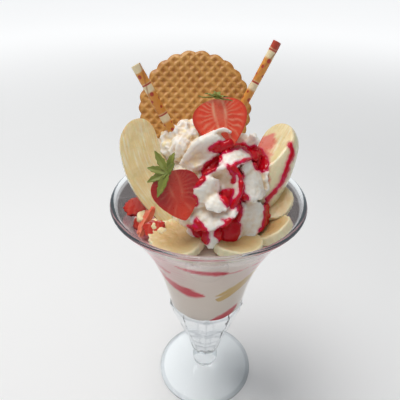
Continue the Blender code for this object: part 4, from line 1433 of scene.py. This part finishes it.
LEAF_THICKNESS = 0.35 * MM
BUTTON_SIZE = Vector((1.7, 1.7, 0.6)) * MM  # of the leaves' middle
# The leaves fan out from the crown: angle, length, half-width and how far each lifts or droops.
Calyx = namedtuple("Calyx", "centre facing leaves")
CALYXES = {
    "calyx_top": Calyx(
        (3.4, -9.6, 243.9), (0.12, 0.30, 0.94),
        ((4, 11.0, 1.5, -1.0), (38, 8.0, 1.6, 1.0), (92, 9.0, 1.8, 2.5), (140, 8.5, 1.6, 1.0),
         (176, 10.0, 1.3, -0.6), (-58, 5.0, 1.6, 1.0), (-118, 5.5, 1.5, 1.5))
    ),
    "calyx_front": Calyx(
        (-21.6, -38.8, 215.3), (-0.28, -0.78, 0.56),
        ((47, 10.5, 1.9, 1.5), (101, 13.0, 2.1, 1.0), (147, 11.0, 2.0, 1.5), (184, 12.0, 2.0, 1.0),
         (226, 14.0, 2.3, 0.5), (20, 6.0, 1.6, 2.5))
    ),
}


def leaf(bm, angle, length, half_width, lift):
    """One pointed leaf of a calyx with a folded middle and a few teeth on its edge."""
    made = bmesh.ops.create_grid(bm, x_segments=22, y_segments=8, size=0.5)["verts"]
    for vertex in made:
        along, across = vertex.co.x + 0.5, 2 * vertex.co.y
        width = half_width * math.sin(math.pi * min(along * 0.94 + 0.06, 1.0) ** 0.85) ** 0.8
        width *= 1 + 0.10 * math.cos(along * 26.0) * abs(across)
        rise = lift * math.sin(math.pi * 0.62 * along) + 0.35 * abs(across) * width
        rise += 0.25 * math.sin(along * 7.0 + angle)
        vertex.co = Vector((along * length, across * width, rise)) * MM
    bmesh.ops.transform(bm, verts=made, matrix=Matrix.Rotation(math.radians(angle), 4, "Z"))


def calyx(name, star, finish):
    """The leafy star on a strawberry's crown."""
    bm = bmesh.new()
    for shape in star.leaves:
        leaf(bm, *shape)
    button = bmesh.ops.create_uvsphere(bm, u_segments=16, v_segments=8, radius=1.0)["verts"]
    bmesh.ops.scale(bm, vec=BUTTON_SIZE, verts=button)
    lay(bm, Vector(star.centre) * MM, star.facing)
    leaves = thickened(skinned(f"{name}_leaves", bm), LEAF_THICKNESS)
    finish_piece(leaves, finish, "leaf", name)


def leaf_finish():
    made = Finish("strawberry_leaf", Roughness=0.5, Subsurface_Weight=0.1, Subsurface_Scale=0.001)
    made.colour(made.mottled(110.0, 3.0, (0.11, 0.15, 0.018), (0.30, 0.31, 0.055)))
    made.grain(800.0, 2.0, 0.15 * MM, 0.5)
    return made.material


def make_strawberries():
    finish, seed_finish = berry_finish(), Finish("seed", Roughness=0.4)
    seed_finish.colour(seed_finish.mottled(300.0, 3.0, (0.50, 0.30, 0.07), (0.74, 0.54, 0.20)))
    for name, berry in BERRIES.items():
        berry_half(name, berry, finish, seed_finish.material)
    for name, chunk in STRAWBERRY_CHUNKS.items():
        strawberry_chunk(name, chunk, finish)
    green = leaf_finish()
    for name, star in CALYXES.items():
        calyx(name, star, green)


# ---------- wafers ----------

WAFFLE_CENTRE = Vector((-8.8, 24.0, 225.4)) * MM
WAFFLE_RADIUS = 34.7 * MM
WAFFLE_LEAN = 28.0
WAFFLE_THICKNESS = 4.2 * MM
WAFFLE_CELL = 4.5 * MM
WAFFLE_PIT = 0.85 * MM
WAFFLE_SCALLOPS = 26


def waffle_outline(turn):
    """The disc's radius at a bearing, with uneven scallops."""
    size = 0.7 + 0.5 * noise.noise(Vector((math.cos(turn) * 2, math.sin(turn) * 2, 3.0)))
    scallop = abs(math.cos(WAFFLE_SCALLOPS / 2 * turn + 0.8 * math.sin(turn * 2))) - 1
    return WAFFLE_RADIUS + (1.9 * size * scallop + 0.2) * MM


def disc_place(a, b):
    """Maps a square's point to a disc's, rings of the square to rings of the disc."""
    if abs(a) < 1e-9 and abs(b) < 1e-9:
        return 0.0, 0.0
    if abs(a) > abs(b):
        return a, math.pi / 4 * b / a
    return b, math.pi / 2 - math.pi / 4 * a / b


def waffle_relief(x, z):
    """The height over the pits' bottoms, 0 to 1: rounded ridges set cornerwise."""
    warp = 0.30 * noise.noise(Vector((x, z, 0.0)) / (11.0 * MM))
    u = (x + z) / math.sqrt(2) / WAFFLE_CELL + warp
    v = (x - z) / math.sqrt(2) / WAFFLE_CELL + 0.7 * warp
    from_ridge = min(abs(u - round(u)), abs(v - round(v))) * 2
    return 1 - smoothstep(0.0, 1.0, from_ridge)


def waffle_face(bm, side, layers):
    """One pitted face of the disc, towards -Y or +Y, with how brown it is at each vertex."""
    made = bmesh.ops.create_grid(bm, x_segments=150, y_segments=150, size=1.0)["verts"]
    for vertex in made:
        reach, turn = disc_place(vertex.co.x, vertex.co.y)
        edge = waffle_outline(turn if reach > 0 else turn + math.pi)
        x, z = reach * edge * math.cos(turn), reach * edge * math.sin(turn)
        relief = waffle_relief(x, z)
        rim = smoothstep(0.90, 1.0, abs(reach))
        crumb = 0.12 * noise.noise(Vector((x, z, side)) / (1.2 * MM))
        depth = WAFFLE_THICKNESS / 2 - WAFFLE_PIT * (1 - relief) * (1 - rim) - 1.1 * MM * rim * rim
        vertex.co = Vector((x, side * (depth + crumb * MM), z))
        baked = 0.5 + 0.5 * noise.noise(Vector((x, z, 5.0 * side)) / (17.0 * MM))
        write(vertex, layers, min(0.75 * (1 - relief) + 0.45 * baked * rim + 0.3 * (baked - 0.3), 1.0))


def make_waffle():
    """A thin disc with square pits, set cornerwise, on both faces, and a scalloped edge."""
    bm = bmesh.new()
    layers = value_layers(bm, "brown")
    for side in (-1.0, 1.0):
        waffle_face(bm, side, layers)
    bmesh.ops.bridge_loops(bm, edges=[edge for edge in bm.edges if edge.is_boundary])
    lean = Matrix.Rotation(math.radians(-WAFFLE_LEAN), 4, "X")
    bmesh.ops.transform(bm, verts=bm.verts, matrix=Matrix.Translation(WAFFLE_CENTRE) @ lean)
    finish_piece(skinned("waffle_relief", bm), waffle_finish(), "waffle", "waffle_disc")


def waffle_finish():
    """Baked batter: golden ridges, browner pits and edge, finely pored."""
    made = Finish("baked_waffle", Roughness=0.5, Coat_Weight=0.1, Coat_Roughness=0.35)
    share = made.maths("ADD", made.attribute("brown"), made.times(made.patches(260.0, 4.0), 0.5))
    share = made.maths("ADD", share, made.ramp(made.patches(38.0), 0.3, 0.7, -0.5, 0.05))
    made.colour(made.blend(share, (0.66, 0.34, 0.085), (0.42, 0.155, 0.022)))
    made.grain(900.0, 4.0, 0.3 * MM, 0.5, 0.6)
    return made.material


Stick = namedtuple("Stick", "foot tip radius first end")
WAFER_STICKS = {
    "wafer_stick_left": Stick((-15.4, 6.2, 204.7), (-41.9, 12.2, 254.7), 2.9, 0.0, "cream"),
    "wafer_stick_right": Stick((6.0, 1.8, 208.0), (36.2, 15.1, 267.0), 2.5, 7.0, "red"),
}
STICK_WALL = 0.8 * MM
STICK_STEP = 0.35 * MM  # where the rolled sheet ends
RING_PITCH = 19.0  # mm along a stick from one ring to the next
DOT_PITCH = 4.9  # mm along a stick from one row of dots to the next
STICK_TWIST = 18.0 * MM  # length over which the seam goes once round


def wafer_stick(name, stick, finish):
    """A rolled wafer: a tube whose outer sheet ends in a step that winds along it."""
    foot, tip = Vector(stick.foot) * MM, Vector(stick.tip) * MM
    length = (tip - foot).length
    bm, shares, layers = wrapped_grid(200, 56, "red", "gold", "seam")
    for vertex, (along, around) in shares.items():
        down = (1 - along) * length
        roll = (around + down / STICK_TWIST * 0.35) % 1.0
        radius = stick.radius * MM - STICK_STEP * roll
        radius += 0.06 * MM * noise.noise(Vector((around * 5, down / (3 * MM), 1.0)))
        turn = 2 * math.pi * around
        vertex.co = Vector((radius * math.cos(turn), radius * math.sin(turn), length * along))
        mark = down / MM + stick.first
        from_ring = abs(mark % RING_PITCH - 12.0)
        ring = 1 - smoothstep(0.35, 0.55, from_ring)
        line = math.floor(mark / DOT_PITCH)
        row = mark % DOT_PITCH - DOT_PITCH / 2 + 0.7 * math.sin(line * 1.7)
        swing = ((around * 3 + line * 0.38) % 1.0 - 0.5) * 2 * math.pi * stick.radius / 3
        dot = 1 - smoothstep(0.9, 1.2, math.hypot(row, swing) / (0.95 + 0.3 * math.sin(line * 2.4)))
        capped = 1 - smoothstep(3.2, 4.2, down / MM + 0.8 * math.sin(turn))
        red = max(ring, 0.0 if from_ring < 3.2 else dot) * (1 - capped)
        gold = smoothstep(1.6, 3.6, abs(mark % RING_PITCH - 14.0)) * (1 - capped)
        seam = 1 - smoothstep(0.0, 0.06, min(roll, 1 - roll))
        write(vertex, layers, max(red, capped) if stick.end == "red" else red, gold, seam)
    bmesh.ops.remove_doubles(bm, verts=bm.verts, dist=SAME_PLACE)
    lay(bm, foot, tip - foot)
    roll = thickened(skinned(f"{name}_roll", bm), STICK_WALL, -1.0)
    finish_piece(roll, finish, "rolled_wafer", name)


def stick_finish():
    """Crisp wafer: cream to golden bands with red dots and rings."""
    made = Finish("rolled_wafer", Roughness=0.45, Coat_Weight=0.1, Coat_Roughness=0.3)
    cream = made.mottled(220.0, 4.0, (0.84, 0.68, 0.38), (0.92, 0.80, 0.55))
    gold = made.mottled(90.0, 3.0, (0.66, 0.19, 0.02), (0.82, 0.42, 0.075))
    colour = made.blend(made.attribute("gold"), cream, gold)
    colour = made.blend(made.times(made.attribute("seam"), 0.7), colour, (0.40, 0.11, 0.03))
    made.colour(made.blend(made.attribute("red"), colour, (0.46, 0.045, 0.018)))
    made.grain(700.0, 3.0, 0.2 * MM, 0.5)
    return made.material


def make_wafers():
    make_waffle()
    finish = stick_finish()
    for name, stick in WAFER_STICKS.items():
        wafer_stick(name, stick, finish)


# ---------- studio ----------


def make_floor():
    """A round of pale paper that glows towards its edge."""
    bm = bmesh.new()
    bmesh.ops.create_circle(bm, cap_ends=True, segments=96, radius=3.0)
    bmesh.ops.translate(bm, vec=(0, 0, -GAP), verts=bm.verts)
    floor = skinned("floor", bm)
    paper = Finish("pale_floor", Roughness=0.9, Emission_Strength=1.0)
    paper.colour(paper.mottled(4.0, 3.0, (0.92, 0.922, 0.925), (0.95, 0.95, 0.95)))
    far = paper.fill(paper.node("VectorMath", operation="LENGTH"), paper.place()).outputs["Value"]
    glow = paper.blend(paper.ramp(far, 0.35, 1.6), (0.0, 0.0, 0.0), (0.55, 0.55, 0.55))
    paper.put(glow, paper.shader.inputs["Emission Color"])
    floor.data.materials.append(paper.material)


def make_sky():
    """Soft light all round, dimmer at the sides."""
    world = bpy.data.worlds.new("studio")
    bpy.context.scene.world = world
    world.use_nodes = True
    sky = Nodes(world.node_tree)
    aside = sky.maths("ABSOLUTE", sky.axes(sky.node("TexCoord").outputs["Generated"])["X"])
    tone = sky.blend(sky.ramp(aside, 0.15, 1.0), (0.96, 0.98, 1.0), (0.36, 0.39, 0.42))
    sky.fill(sky.tree.nodes["Background"], Color=tone, Strength=0.5)


def make_lamp():
    """One wide soft lamp overhead, a little behind and to the left."""
    lamp = bpy.data.lights.new("overhead", "AREA")
    lamp.shape = "DISK"
    lamp.size = 0.7
    lamp.energy = 7.5
    lamp.color = (1.0, 0.985, 0.96)
    place = Vector((-0.30, 0.10, 1.1))
    hung = link("overhead", lamp)
    hung.location = place
    hung.rotation_euler = (Vector((0, 0, 0.15)) - place).to_track_quat("-Z", "Y").to_euler()
    bpy.context.scene.view_settings.view_transform = "Standard"


def make_camera():
    """Looks along the board's own direction from the lookout."""
    data = bpy.data.cameras.new("camera")
    data.sensor_width = 36.0
    data.lens = 36.0
    camera = link("camera", data)
    camera.matrix_world = Matrix.Translation(LOOKOUT) @ BOARD_TURN.to_4x4()
    bpy.context.scene.camera = camera


make_floor()
make_sky()
make_lamp()
make_camera()
make_glass()
make_ice_cream()
cream = make_cream()
bananas = make_bananas()
make_strawberries()
make_wafers()
make_sauce([cream] + bananas)
